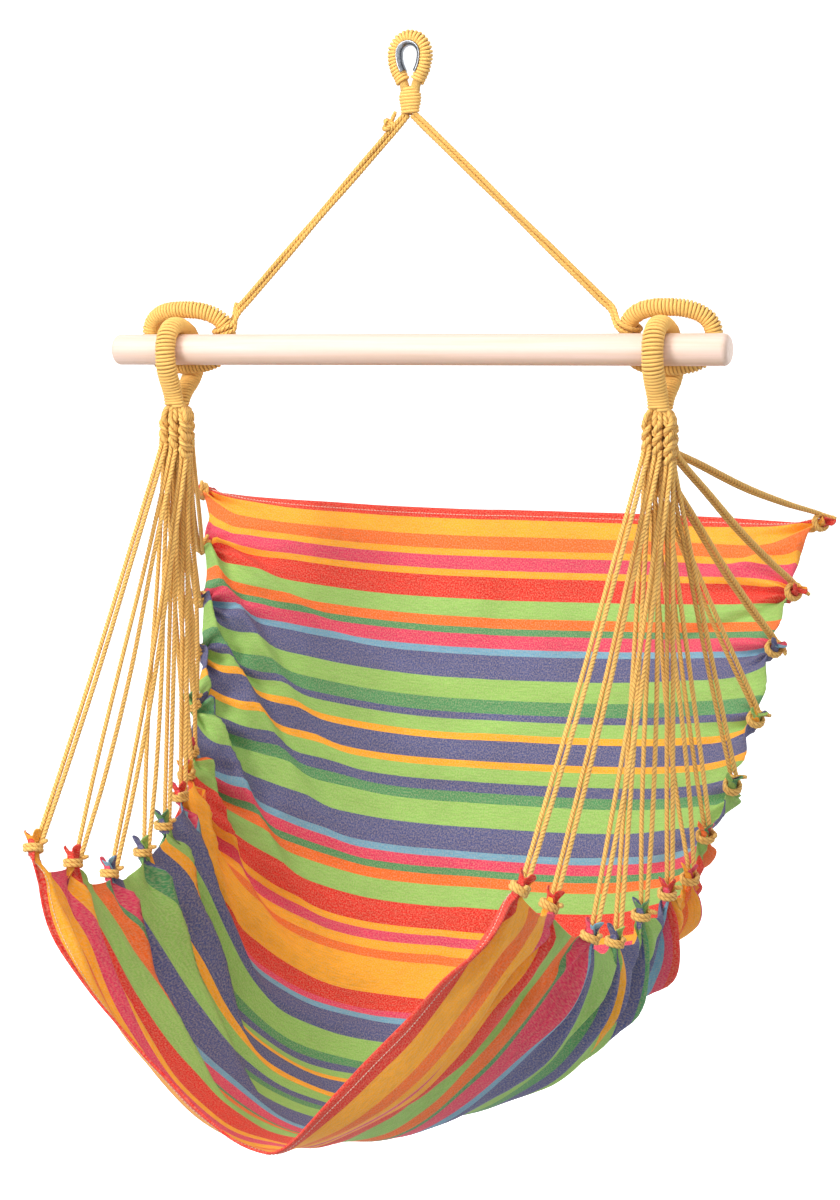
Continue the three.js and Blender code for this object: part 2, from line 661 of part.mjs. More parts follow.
function earPoint(side, share) {
  const drops = side < 0 ? leftEarDropShares : rightEarDropShares;
  return new THREE.Vector3(
    side * CLOTH_HALF_WIDTH * smoothTable(earOutShares, share),
    clothRun * smoothTable(earBackShares, share) - CLOTH_FRONT_REACH,
    barZ - CLOTH_DROP * smoothTable(drops, share),
  );
}

function clothPoint(share, across) {
  const side = across < 0 ? -1 : 1;
  const edge = earPoint(side, share);
  const width = Math.abs(across);
  const rise = smoothTable(side < 0 ? leftRiseShares : rightRiseShares, share);
  const spread = smoothTable(side < 0 ? leftSpreadShares : rightSpreadShares, share);
  const midY = clothRun * smoothTable(midBackShares, share) - CLOTH_FRONT_REACH;
  const midZ = barZ - CLOTH_DROP * smoothTable(midDropShares, share);
  return new THREE.Vector3(
    edge.x * (1 - (1 - width) ** spread),
    midY + (edge.y - midY) * width ** 2,
    midZ + (edge.z - midZ) * width ** rise,
  );
}

// Cords, ears and lashings at one side: each cord has two legs that end in an ear

function cordExit(side, index) {
  const across = exitAcrossShares[index] * (CLEW_THICKNESS / 2);
  const up = exitUpShares[index] * CLEW_LENGTH;
  const column = (index % CORD_COLUMNS) - (CORD_COLUMNS - 1) / 2;
  const out = side * ringOut + column * 2 * CLEW_CORD_PITCH;
  const point = new THREE.Vector3(out, across, clewFootZ + up);
  const face = up === 0 ? Z.clone().negate() : Y.clone().multiplyScalar(Math.sign(across));
  return { point, face };
}

function earAt(side, index) {
  const share = index / (EARS_PER_SIDE - 1);
  const centre = earPoint(side, share);
  const outward = centre.clone().sub(clothPoint(share, side * EAR_INNER_SHARE)).normalize();
  const exit = cordExit(side, index);
  const pull = exit.point.clone().sub(centre).normalize();
  const axis = outward.clone().multiplyScalar(EAR_OUTWARD_LEAN_SHARE).add(pull).normalize();
  // The legs leave on the side to which the pull leans, in line across the chair
  const legSide = axis.clone().cross(X).normalize();
  if (legSide.dot(pull) < 0) legSide.negate();
  const beside = axis.clone().cross(legSide);
  if (beside.x < 0) beside.negate();
  return { centre, axis, legSide, beside, exit };
}

// How far a round end must stand off a flat face that it meets at a slant
function standOff(direction, face) {
  const facing = Math.abs(direction.dot(face));
  return (CLEARANCE + cordRadius * Math.sqrt(1 - facing * facing)) / facing;
}

const lashingInner = EAR_NECK_RADIUS + CLEARANCE / Math.cos(Math.PI / LASHING_SIDES);
const lashingHalf = LASHING_TURNS * cordRadius;

function lashing({ centre, axis, legSide }) {
  const outer = lashingInner + CORD_DIAMETER;
  const crest = lashingHalf * SERVING_CREST_SHARE;
  const profile = [
    new THREE.Vector2(lashingInner, -lashingHalf),
    new THREE.Vector2(outer, -crest),
    new THREE.Vector2(outer, crest),
    new THREE.Vector2(lashingInner, lashingHalf),
    new THREE.Vector2(lashingInner, -lashingHalf),
  ];
  return turnedOn(profile, LASHING_SIDES, centre, axis, legSide);
}

// A sling cord: two legs from the clew to one ear, where the cord is lashed round its neck
function slingCord(side, index) {
  const ear = earAt(side, index);
  const seat = ear.centre.clone().addScaledVector(ear.legSide, lashingInner + cordRadius);
  let cord = toSolid(lashing(ear));
  for (const which of [-1, 1]) {
    const from = ear.exit.point.clone().addScaledVector(X, (which * CLEW_CORD_PITCH) / 2);
    const end = seat.clone().addScaledVector(ear.beside, (which * CLEW_CORD_PITCH) / 2);
    const run = end.clone().sub(from);
    const way = run.clone().normalize();
    const start = from.clone().addScaledVector(way, standOff(way, ear.exit.face));
    const down = Z.clone().negate().projectOnPlane(way);
    const droop = down.multiplyScalar(run.length() * cordSagShares[index]);
    const middle = start.clone().lerp(end, CORD_MIDDLE_SHARE).add(droop);
    const route = new THREE.CatmullRomCurve3([start, middle, end]);
    const leg = tube(route, cordRadius, CORD_SIDES, CORD_STEPS);
    cord = cord.add(toSolid(leg));
  }
  return fromSolid(cord);
}

function slingCords(sideName, side) {
  for (let index = 0; index < EARS_PER_SIDE; index += 1) {
    const number = String(index + 1).padStart(2, "0");
    addPiece(`${sideName}_cord_${number}`, slingCord(side, index), rope);
  }
}

// Sling cloth: one sheet whose edges gather into the ears, with a fold between each two.
// Each ear takes two rows of the sheet, and the row between two ears is drawn in as a scallop.

const earRow = (index) => 3 * index;
const lastRow = earRow(EARS_PER_SIDE - 1) + 1;

function rowShare(row) {
  return THREE.MathUtils.mapLinear(row, 0, lastRow, 0, 1);
}

function sheetPoint(share, across) {
  const between = Math.abs(Math.sin(share * (EARS_PER_SIDE - 1) * Math.PI));
  const width = Math.abs(across);
  const drawnIn = (CLOTH_SCALLOP / CLOTH_HALF_WIDTH) * between * width ** 4;
  const point = clothPoint(share, across * (1 - drawnIn));
  const step = SURFACE_STEP_SHARE;
  const along = clothPoint(share + step, across).sub(clothPoint(share - step, across));
  const inner = across * (1 - 2 * step);
  const over = clothPoint(share, inner + step).sub(clothPoint(share, inner - step));
  const normal = along.cross(over).normalize();
  return point.addScaledVector(normal, CLOTH_FOLD * (0.5 - between) * width ** 3);
}

// An ear from its root through the lashing to a flat tip, one corner for each of the
// sheet's four edge corners there; a corner lies on the sides that the signs tell
function earRings({ centre, axis, legSide, beside }) {
  const along = legSide.clone().multiplyScalar(Math.sign(legSide.y));
  const ring = (height, halfThickness, halfWidth, lean) => (rowSign, faceSign) => centre.clone()
    .addScaledVector(axis, height)
    .addScaledVector(legSide, -lean)
    .addScaledVector(along, rowSign * halfThickness)
    .addScaledVector(beside, faceSign * halfWidth);
  const neck = EAR_NECK_RADIUS * Math.SQRT1_2;
  return [
    ring(-EAR_ROOT, neck, neck, 0),
    ring(lashingHalf, neck, neck, 0),
    ring(EAR_TIP, EAR_TIP_HALF_THICKNESS, EAR_TIP_HALF_WIDTH, EAR_TIP_LEAN),
  ];
}

function slingCloth() {
  const columns = CLOTH_CELLS_ACROSS + 1;
  const middle = [];
  for (let row = 0; row <= lastRow; row += 1) {
    const line = [];
    for (let column = 0; column < columns; column += 1) {
      const even = (2 * column) / CLOTH_CELLS_ACROSS - 1;
      const across = Math.sign(even) * (1 - (1 - Math.abs(even)) ** CLOTH_EDGE_CROWDING);
      line.push(sheetPoint(rowShare(row), across));
    }
    middle.push(line);
  }
  const half = CLOTH_THICKNESS / 2;
  const points = [];
  for (const face of [-1, 1]) {
    middle.forEach((line, row) => line.forEach((point, column) => {
      const [before, after] = [middle[Math.max(row - 1, 0)], middle[Math.min(row + 1, lastRow)]];
      const along = after[column].clone().sub(before[column]);
      const over = line[Math.min(column + 1, columns - 1)].clone().sub(line[Math.max(column - 1, 0)]);
      points.push(point.clone().addScaledVector(along.cross(over).normalize(), face * half));
    }));
  }
  const under = (row, column) => row * columns + column;
  const upper = (row, column) => (lastRow + 1) * columns + under(row, column);
  const triangles = [];
  const quad = (a, b, c, d) => triangles.push(a, b, c, a, c, d);
  for (let row = 0; row < lastRow; row += 1) {
    for (let column = 0; column < columns - 1; column += 1) {
      quad(under(row, column), under(row + 1, column), under(row + 1, column + 1), under(row, column + 1));
      quad(upper(row, column), upper(row, column + 1), upper(row + 1, column + 1), upper(row + 1, column));
    }
  }
  for (let column = 0; column < columns - 1; column += 1) {
    quad(under(0, column), under(0, column + 1), upper(0, column + 1), upper(0, column));
    const far = (face, place) => face(lastRow, column + place);
    quad(far(under, 0), far(upper, 0), far(upper, 1), far(under, 1));
  }
  for (const side of [-1, 1]) {
    const edge = side < 0 ? 0 : columns - 1;
    const rim = (row) => {
      const corners = [under(row, edge), under(row + 1, edge), upper(row + 1, edge), upper(row, edge)];
      return side < 0 ? corners.reverse() : corners;
    };
    for (let row = 0; row < lastRow; row += 1) {
      if (row % 3 !== 0) quad(...rim(row));
    }
    for (let index = 0; index < EARS_PER_SIDE; index += 1) {
      // Each corner's signs: towards the front or the back row, and the under or the upper face
      const row = earRow(index);
      const signs = [[-1, -1], [1, -1], [1, 1], [-1, 1]];
      if (side < 0) signs.reverse();
      const facing = points[upper(row, edge)].clone().sub(points[under(row, edge)]);
      const ear = earAt(side, index);
      const flip = Math.sign(facing.dot(ear.beside));
      const [root, neck, tip] = earRings(ear);
      let ring = rim(row);
      ring.forEach((corner, place) => points[corner].copy(root(signs[place][0], flip * signs[place][1])));
      for (const next of [neck, tip]) {
        const start = points.length;
        points.push(...signs.map(([rowSign, faceSign]) => next(rowSign, flip * faceSign)));
        const nextRing = [0, 1, 2, 3].map((place) => start + place);
        ring.forEach((corner, place) => {
          const other = (place + 1) % 4;
          quad(corner, ring[other], nextRing[other], nextRing[place]);
        });
        ring = nextRing;
      }
      quad(...ring);
    }
  }
  addPiece("sling_cloth", closedGeometry(points, triangles), cotton);
}

eye();
throat();
spreaderBar();
for (const [sideName, side] of [["left", -1], ["right", 1]]) {
  const ring = hangerRing(sideName, side);
  const line = suspensionRope(sideName, side, ring);
  if (side < 0) topKnot(line);
  slingLoop(sideName, side);
  clew(sideName, side);
  slingCords(sideName, side);
}
slingCloth();

export default chair;
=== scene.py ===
"""Hammock chair: a striped cotton sling on twisted cords, hung from a beech bar and a rope eye."""

import math
from bisect import bisect_right
from itertools import accumulate

import bmesh
import bpy
from bpy.props import FloatProperty, IntProperty, PointerProperty, StringProperty
from mathutils import Matrix, Vector, noise
from mathutils.geometry import interpolate_bezier
from mathutils.kdtree import KDTree


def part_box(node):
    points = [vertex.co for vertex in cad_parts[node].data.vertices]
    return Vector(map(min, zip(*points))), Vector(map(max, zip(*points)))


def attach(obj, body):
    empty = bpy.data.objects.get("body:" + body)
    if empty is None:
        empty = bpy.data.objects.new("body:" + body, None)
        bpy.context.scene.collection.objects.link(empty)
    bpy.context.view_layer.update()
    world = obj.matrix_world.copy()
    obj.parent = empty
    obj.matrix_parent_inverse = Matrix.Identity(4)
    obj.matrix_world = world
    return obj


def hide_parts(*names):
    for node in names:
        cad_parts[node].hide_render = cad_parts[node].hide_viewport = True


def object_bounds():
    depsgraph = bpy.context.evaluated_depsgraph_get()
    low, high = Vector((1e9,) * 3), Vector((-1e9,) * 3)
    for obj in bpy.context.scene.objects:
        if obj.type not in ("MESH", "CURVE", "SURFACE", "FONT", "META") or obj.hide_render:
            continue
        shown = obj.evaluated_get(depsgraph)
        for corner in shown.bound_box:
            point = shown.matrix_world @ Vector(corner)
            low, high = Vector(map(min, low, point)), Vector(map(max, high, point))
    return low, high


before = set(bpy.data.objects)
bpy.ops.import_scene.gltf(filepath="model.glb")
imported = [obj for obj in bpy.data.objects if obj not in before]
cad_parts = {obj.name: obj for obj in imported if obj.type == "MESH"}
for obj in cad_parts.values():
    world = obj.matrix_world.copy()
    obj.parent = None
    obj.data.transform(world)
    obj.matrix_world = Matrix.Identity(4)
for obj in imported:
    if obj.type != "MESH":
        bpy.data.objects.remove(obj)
CAD_BOX = [list(corner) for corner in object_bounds()]

bl_info = {
    "name": "Hammock Chair",
    "version": (1, 0, 0),
    "blender": (4, 5, 0),
    "location": "View3D > Sidebar > Hammock Chair",
    "description": "Makes the rope, cotton and beech pieces of a hanging hammock chair",
    "category": "Add Mesh",
}

SIDES = {"left": -1, "right": 1}
X = Vector((1, 0, 0))
Y = Vector((0, 1, 0))
Z = Vector((0, 0, 1))
BAR_LOW, BAR_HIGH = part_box("spreader_bar")
BAR_MIDDLE = (BAR_LOW + BAR_HIGH) / 2
BAR_RADIUS = (BAR_HIGH.z - BAR_LOW.z) / 2
CLEW_LOW, CLEW_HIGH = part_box("right_clew")
CLEW_SIZE = CLEW_HIGH - CLEW_LOW

# The tables of the drape are read at even steps from the front hem to the top hem. The two sides
# hang differently, as photographed.
# The ears: out from the middle, back from the front reach, and down from the bar
EAR_OUT_SHARES = (0.686, 0.686, 0.709, 0.709, 0.728, 0.753, 0.784, 0.807, 0.853, 0.888, 0.916, 0.949, 1)
EAR_BACK_SHARES = (0, 0.13, 0.28, 0.4, 0.5, 0.593, 0.657, 0.7, 0.764, 0.829, 0.879, 0.929, 0.99)
EAR_DROP_SHARES = {
    -1: (0.615, 0.65, 0.683, 0.669, 0.645, 0.616, 0.593, 0.565, 0.505, 0.432, 0.361, 0.286, 0.208),
    1: (0.621, 0.658, 0.716, 0.739, 0.718, 0.702, 0.689, 0.637, 0.576, 0.492, 0.4, 0.326, 0.234),
}
# The cloth's middle line: back from the front reach, and down from the bar
MIDDLE_BACK_SHARES = (0.021, 0.289, 0.565, 0.764, 0.871, 0.949, 1)
MIDDLE_DROP_SHARES = (0.97, 1, 0.962, 0.824, 0.63, 0.43, 0.227)
# From the middle out to an edge: the powers by which the cloth rises late and spreads early
RISE_POWERS = {-1: (1.95, 2.1, 2.5, 2.6, 2.3, 2.2, 2), 1: (1.15, 1.8, 2.7, 2.9, 2.6, 2.2, 2)}
SPREAD_POWERS = {-1: (1.22, 1.35, 1.6, 1.6, 1.4, 1.2, 1), 1: (1.02, 1.2, 1.6, 1.7, 1.5, 1.2, 1)}
# Where each cord leaves its clew: across the half thickness, and up the length; and how far it sags
EXIT_ACROSS_SHARES = (-1, -1, -0.8, -0.52, -0.3, -0.12, -0.02, 0.22, 0.42, 0.55, 0.8, 1, 1)
EXIT_UP_SHARES = (0.3, 0.2, 0, 0, 0, 0, 0, 0, 0, 0, 0, 0.26, 0.5)
CORD_SAG_SHARES = (0.02, 0.03, 0.07, 0.05, 0.03, 0.02, 0.02, 0.02, 0.02, 0.02, 0.03, 0.03, 0.03)
# The cords leave a clew in three columns, and a cord's two legs lie this far apart
CORD_COLUMNS = 3
LEG_GAP = 0.0004
# Play between a sling loop and the bar, and between a ring and what it holds
LOOP_PLAY = 0.0007
RING_PLAY = 0.0009
# How far a core stays inside its binding's outer side, as a share of the binding cord's thickness
CORE_INSET = 0.8
# A sling loop: the crown's angles, with how far each swells round the ring, and the two limbs' places
# out from the bar's axis and down to the neck
CROWN_ANGLES = (0, 30, 60, 90, 120, 150, 180, 206, 229)
CROWN_SWELL_SHARES = (0, 0, 0, 0, 0.04, 0.32, 0.7, 1, 1)
FRONT_LIMB_SHARES = ((0.252, 0.9), (0.325, 0.807), (0.43, 0.714), (0.695, 0.514), (0.91, 0.32), (0.99, 0.14))
BACK_LIMB_SHARES = ((0.828, 0.679), (0.546, 0.786), (0.338, 0.886), (0.238, 0.97))

# Long folds: from and to, each as a share along the cloth and a place across it; height out of the
# seat, half width, and how far the crest leans towards the top hem, as a share of its height
LONG_FOLDS = (
    (0.945, -0.97, 0.80, -0.20, -0.010, 0.016, 0.4), (0.92, -0.98, 0.66, -0.30, -0.016, 0.020, 0.6),
    (0.83, -0.98, 0.58, -0.34, -0.021, 0.022, 0.8), (0.72, -0.98, 0.50, -0.36, -0.021, 0.020, 0.7),
    (0.60, -0.97, 0.43, -0.38, -0.018, 0.019, 0.6), (0.50, -0.97, 0.39, -0.50, -0.013, 0.015, 0.6),
    (0.42, -0.98, 0.35, -0.40, -0.018, 0.015, 0.9), (0.33, -0.98, 0.265, -0.38, -0.027, 0.017, 1.3),
    (0.25, -0.98, 0.175, -0.20, -0.025, 0.018, 1.2), (0.167, -0.98, 0.105, -0.22, -0.022, 0.017, 1.1),
    (0.09, -0.97, 0.06, -0.30, -0.014, 0.012, 0.7), (0.66, 0.98, 0.57, 0.38, 0.014, 0.022, 0.4),
    (0.78, 0.98, 0.70, 0.50, 0.012, 0.018, 0.4), (0.90, 0.98, 0.84, 0.45, 0.012, 0.018, 0.4),
    (0.965, 0.98, 0.93, 0.60, -0.012, 0.012, 0.3), (0.06, 0.98, 0.04, 0.10, 0.010, 0.014, 0.3),
    (0.105, 0.98, 0.075, 0.16, 0.014, 0.014, 0.4), (0.23, 0.98, 0.17, 0.22, 0.014, 0.014, 0.3),
    (0.30, 0.97, 0.225, 0.26, 0.015, 0.014, 0.4), (0.37, 0.97, 0.28, 0.30, 0.014, 0.014, 0.4),
    (0.45, 0.96, 0.36, 0.34, 0.013, 0.016, 0.4), (0.145, 0.97, 0.115, 0.35, -0.010, 0.012, 0.2),
    (0.54, 0.97, 0.46, 0.45, 0.012, 0.018, 0.6),
)

# Half of the pattern's repeat, from the hem inwards: each colour, and its width in units of 1.3 mm
HALF_STRIPES = (
    ("yellow", 18), ("orange", 13), ("yellow", 8), ("pink", 12), ("yellow", 7), ("red", 23),
    ("leaf", 22), ("orange", 10), ("forest", 6), ("pink", 13), ("sky", 7), ("navy", 25),
    ("leaf", 23), ("forest", 12), ("navy", 9), ("leaf", 13), ("yellow", 6.5), ("navy", 11),
)
# The shorter run in the seat, between the first half repeat and the whole one up the back
FRONT_STRIPES = (
    ("navy", 11), ("yellow", 6.5), ("leaf", 13), ("navy", 9), ("forest", 12), ("leaf", 23),
    ("navy", 25), ("sky", 7), ("pink", 8), ("red", 17), ("yellow", 18),
)
FRONT_HEM_STRIPE = ("red", 17)
TOP_HEM_STRIPE = ("red", 12)


class RopeSizes(bpy.types.PropertyGroup):
    """Sizes of the ropes, cords and their bindings."""

    cord_diameter: FloatProperty(
        name="Cord diameter", description="Thickness of the twisted cord", default=0.0062, unit="LENGTH")
    lay: FloatProperty(
        name="Lay", description="Length of one full twist of a cord", default=0.016, unit="LENGTH")
    groove: FloatProperty(
        name="Groove", description="Depth of the grooves between strands, as a share of the radius",
        default=0.24, subtype="FACTOR")
    binding_diameter: FloatProperty(
        name="Binding cord", description="Thickness of the cord bound round ropes", default=0.0042,
        unit="LENGTH")
    eye_diameter: FloatProperty(
        name="Eye rope", description="Thickness of the bound rope of the eye", default=0.018, unit="LENGTH")
    eye_bend_radius: FloatProperty(
        name="Eye bend", description="Radius of the eye's crown at the rope's middle", default=0.02,
        unit="LENGTH")
    eye_leg_spread: FloatProperty(
        name="Eye leg spread", description="Half the distance between the eye's legs", default=0.0066,
        unit="LENGTH")
    eye_shoulder: FloatProperty(
        name="Eye shoulder", description="Reach of the curve below the crown", default=0.024, unit="LENGTH")
    eye_neck_lead: FloatProperty(
        name="Eye neck lead", description="Straight lead of the legs above the throat", default=0.016,
        unit="LENGTH")
    ring_diameter: FloatProperty(
        name="Ring rope", description="Thickness of a bound hanger ring", default=0.022, unit="LENGTH")
    ring_half_length: FloatProperty(
        name="Ring half length", description="Half the length of a ring's middle line", default=0.054,
        unit="LENGTH")
    loop_width: FloatProperty(
        name="Loop width", description="Width of a bound sling loop", default=0.027, unit="LENGTH")
    loop_thickness: FloatProperty(
        name="Loop thickness", description="Thickness of a bound sling loop", default=0.021, unit="LENGTH")
    loop_end_thickness: FloatProperty(
        name="Loop end thickness", description="Thickness at a loop's two ends", default=0.0126,
        unit="LENGTH")
    loop_drop: FloatProperty(
        name="Loop drop", description="Distance from the bar's axis down to a loop's neck", default=0.07,
        unit="LENGTH")


class SlingSizes(bpy.types.PropertyGroup):
    """Sizes of the striped cloth and its gathered ears."""

    half_width: FloatProperty(
        name="Half width", description="From the middle out to the widest ear", default=0.43, unit="LENGTH")
    front_reach: FloatProperty(
        name="Front reach", description="From the bar's axis to the front ears", default=0.4, unit="LENGTH")
    back_reach: FloatProperty(
        name="Back reach", description="From the bar's axis to the top hem", default=0.3, unit="LENGTH")
    drop: FloatProperty(
        name="Drop", description="From the bar's axis down to the seat's lowest line", default=0.915,
        unit="LENGTH")
    flat_width: FloatProperty(
        name="Flat width", description="Width of the cloth as it was cut", default=0.95, unit="LENGTH")
    flat_length: FloatProperty(
        name="Flat length", description="Length of the cloth as it was cut", default=1.16, unit="LENGTH")
    thickness: FloatProperty(
        name="Cloth thickness", description="Thickness of the woven cotton", default=0.0012, unit="LENGTH")
    scallop: FloatProperty(
        name="Scallop", description="How far the edge is drawn in between two ears", default=0.011,
        unit="LENGTH")
    ears: IntProperty(name="Ears", description="Gathered ears on each side", default=13, min=3)
    ear_neck_radius: FloatProperty(
        name="Ear neck", description="Radius of an ear where it is lashed", default=0.0064, unit="LENGTH")
    ear_tip: FloatProperty(
        name="Ear tip", description="How far an ear's tip stands past its lashing", default=0.021,
        unit="LENGTH")
    ear_tip_half_width: FloatProperty(
        name="Ear tip half width", description="Half the width of an ear's tip", default=0.0095,
        unit="LENGTH")
    hem_curl: FloatProperty(
        name="Hem curl", description="How far the taut hems curl in towards the seat", default=0.013,
        unit="LENGTH")
    ear_flat: FloatProperty(
        name="Cloth in an ear", description="Cloth from the edge to the lashing, laid flat", default=0.032,
        unit="LENGTH")
    stitch: FloatProperty(
        name="Stitch", description="Length of one stitch of the hems", default=0.0045, unit="LENGTH")


class ChairColours(bpy.types.PropertyGroup):
    """Colours of the chair, as sRGB hex values."""

    yellow: StringProperty(name="Yellow", description="Warm yellow stripe", default="#fdab2f")
    orange: StringProperty(name="Orange", description="Orange stripe", default="#f4702f")
    pink: StringProperty(name="Pink", description="Deep pink stripe", default="#e04a6a")
    red: StringProperty(name="Red", description="Red stripe and hem", default="#df231b")
    leaf: StringProperty(name="Leaf green", description="Light green stripe", default="#93c064")
    forest: StringProperty(name="Forest green", description="Dark green stripe", default="#4b8f5b")
    sky: StringProperty(name="Sky blue", description="Light blue stripe", default="#6fa3bd")
    navy: StringProperty(name="Navy", description="Dark blue stripe", default="#4a5282")
    cord: StringProperty(name="Cord", description="Golden cotton cord", default="#fbc96c")
    # Painted shade: the colour towards which the grooves between strands and the cores under bindings are
    # darkened
    cord_shade: StringProperty(name="Cord shade", description="Grooves of the cord", default="#bb8030")
    beech: StringProperty(name="Beech", description="Pale wood of the bar", default="#eccfc2")
    beech_grain: StringProperty(name="Beech grain", description="Fine grain of the bar", default="#dcbfa8")
    steel: StringProperty(name="Steel", description="Zinc-plated thimble", default="#8e9095")
    steel_shade: StringProperty(name="Steel shade", description="Darker zinc spangles", default="#666a70")
    cross_thread: StringProperty(
        name="Cross thread", description="Pale threads across the stripes", default="#e9cfa6")
    thread: StringProperty(name="Thread", description="Sewing thread of the hems", default="#f2dcc8")
    studio: StringProperty(name="Studio", description="Floor and backdrop", default="#fbfbfb")


class ChairSettings(bpy.types.PropertyGroup):
    """All sizes and colours of the chair."""

    ropes: PointerProperty(type=RopeSizes)
    sling: PointerProperty(type=SlingSizes)
    colours: PointerProperty(type=ChairColours)


def settings():
    return bpy.context.scene.hammock_chair


# Small sums

def smoothstep(value, low, high):
    """Ease from 0 at low to 1 at high."""
    place = min(max((value - low) / (high - low), 0), 1)
    return place * place * (3 - 2 * place)


def mix(a, b, share):
    return a + (b - a) * share


def read_table(table, share):
    """Read a table at a share of its length, on a smooth curve through its values."""
    place = min(max(share, 0), 1) * (len(table) - 1)
    index = min(int(place), len(table) - 2)
    a, b = table[index], table[index + 1]
    before = table[index - 1] if index else 2 * a - b
    after = table[index + 2] if index + 2 < len(table) else 2 * b - a
    t = place - index
    return 0.5 * (2 * a + (b - before) * t + (2 * before - 5 * a + 4 * b - after) * t ** 2
                  + (3 * a - before - 3 * b + after) * t ** 3)


# Paths and sweeps

def smooth_path(points, per_span=10):
    """Points along one smooth curve through the given ones."""
    last = len(points) - 1
    ways = [(points[min(i + 1, last)] - points[max(i - 1, 0)]).normalized() for i in range(last + 1)]
    path = []
    for i in range(last):
        reach = (points[i + 1] - points[i]).length / 3
        handles = points[i] + ways[i] * reach, points[i + 1] - ways[i + 1] * reach
        path += interpolate_bezier(points[i], *handles, points[i + 1], per_span + 1)[:-1]
    return [*path, points[last].copy()]


class Route:
    """A path through close points, measured by its length."""

    def __init__(self, points, closed=False):
        self.points = [*points, points[0]] if closed else list(points)
        self.closed = closed
        spans = ((b - a).length for a, b in zip(self.points, self.points[1:]))
        self.marks = [0, *accumulate(spans)]
        self.length = self.marks[-1]

    def at(self, share):
        place = (share % 1 if self.closed else min(max(share, 0), 1)) * self.length
        after = min(bisect_right(self.marks, place), len(self.marks) - 1)
        low, high = self.marks[after - 1], self.marks[after]
        return self.points[after - 1].lerp(self.points[after], (place - low) / (high - low))

    def axes(self, share, reference):
        """The point, and the directions along, out and to the side, where side lies near the reference."""
        step = 0.004
        along = (self.at(share + step) - self.at(share - step)).normalized()
        out = reference.cross(along).normalized()
        return self.at(share), along, out, along.cross(out)

    def station(self, share, reference, scale=(1, 1)):
        """A matrix that sets a section on the route, scaled out and to the side."""
        point, along, out, side = self.axes(share, reference)
        place = Matrix((out * scale[0], side * scale[1], along)).transposed().to_4x4()
        place.translation = point
        return place


def round_section(radius, sides):
    """Corners of a plain round cord, each with no groove."""
    angles = [2 * math.pi * i / sides for i in range(sides)]
    return [(Vector((radius * math.cos(a), radius * math.sin(a), 0)), 0.0) for a in angles]


def laid_section(radius, strands=3, per_strand=4):
    """Corners of a cord laid up of strands, each with how deep it lies in a groove; the material paints shade
    by that depth.
    """
    corners = []
    for i in range(strands * per_strand):
        angle = 2 * math.pi * i / (strands * per_strand)
        groove = 1 - abs(math.cos(strands * angle / 2))
        reach = radius * (1 - settings().ropes.groove * groove)
        corners.append((Vector((reach * math.cos(angle), reach * math.sin(angle), 0)), groove))
    return corners


def sweep(mesh, stations, section, closed=False):
    """Draw a section from station to station by extruding its rim, with UVs in metres."""
    # Each corner keeps its groove value, which the cord's material paints as shade
    groove = mesh.verts.layers.float.get("groove") or mesh.verts.layers.float.new("groove")
    uv = mesh.loops.layers.uv.get("UVMap") or mesh.loops.layers.uv.new("UVMap")
    count = len(section)
    around = sum((section[i][0] - section[i - 1][0]).length for i in range(count)) / count
    rim = bmesh.ops.create_circle(mesh, segments=count, radius=1, cap_ends=not closed)["verts"]
    place = 0.0
    for vert, (corner, depth) in zip(rim, section):
        vert.co = stations[0] @ corner
        vert[groove] = depth
    first_edges = list(dict.fromkeys(edge for vert in rim for edge in vert.link_edges))
    edges = first_edges
    order = {vert: i for i, vert in enumerate(rim)}
    for before, station in zip(stations, stations[1:]):
        ahead = place + (station.translation - before.translation).length
        drawn = bmesh.ops.extrude_edge_only(mesh, edges=edges)["geom"]
        fresh = [part for part in drawn if isinstance(part, bmesh.types.BMVert)]
        edges = [part for part in drawn if isinstance(part, bmesh.types.BMEdge)
                 and all(vert not in order for vert in part.verts)]
        following = {}
        for vert in fresh:
            old = next(edge.other_vert(vert) for edge in vert.link_edges if edge.other_vert(vert) in order)
            following[vert] = order[old]
            corner, depth = section[order[old]]
            vert.co = station @ corner
            vert[groove] = depth
        for face in (part for part in drawn if isinstance(part, bmesh.types.BMFace)):
            turns = [order.get(vert, following.get(vert)) for vert in face.verts]
            wraps = max(turns) - min(turns) > 1
            for loop, turn in zip(face.loops, turns):
                turn = count if wraps and turn == 0 else turn
                loop[uv].uv = (ahead if loop.vert in following else place, turn * around)
        order = following
        place = ahead
    if closed:
        bmesh.ops.bridge_loops(mesh, edges=edges + first_edges)
    else:
        bmesh.ops.edgeloop_fill(mesh, edges=edges)


def poly_curve(name, points, cyclic=False):
    """A curve straight from point to point."""
    line = bpy.data.curves.new(name, "CURVE")
    line.dimensions = "3D"
    spline = line.splines.new("POLY")
    spline.points.add(len(points) - 1)
    spline.use_cyclic_u = cyclic
    for place, point in zip(spline.points, points):
        place.co = (*point, 1)
    return line


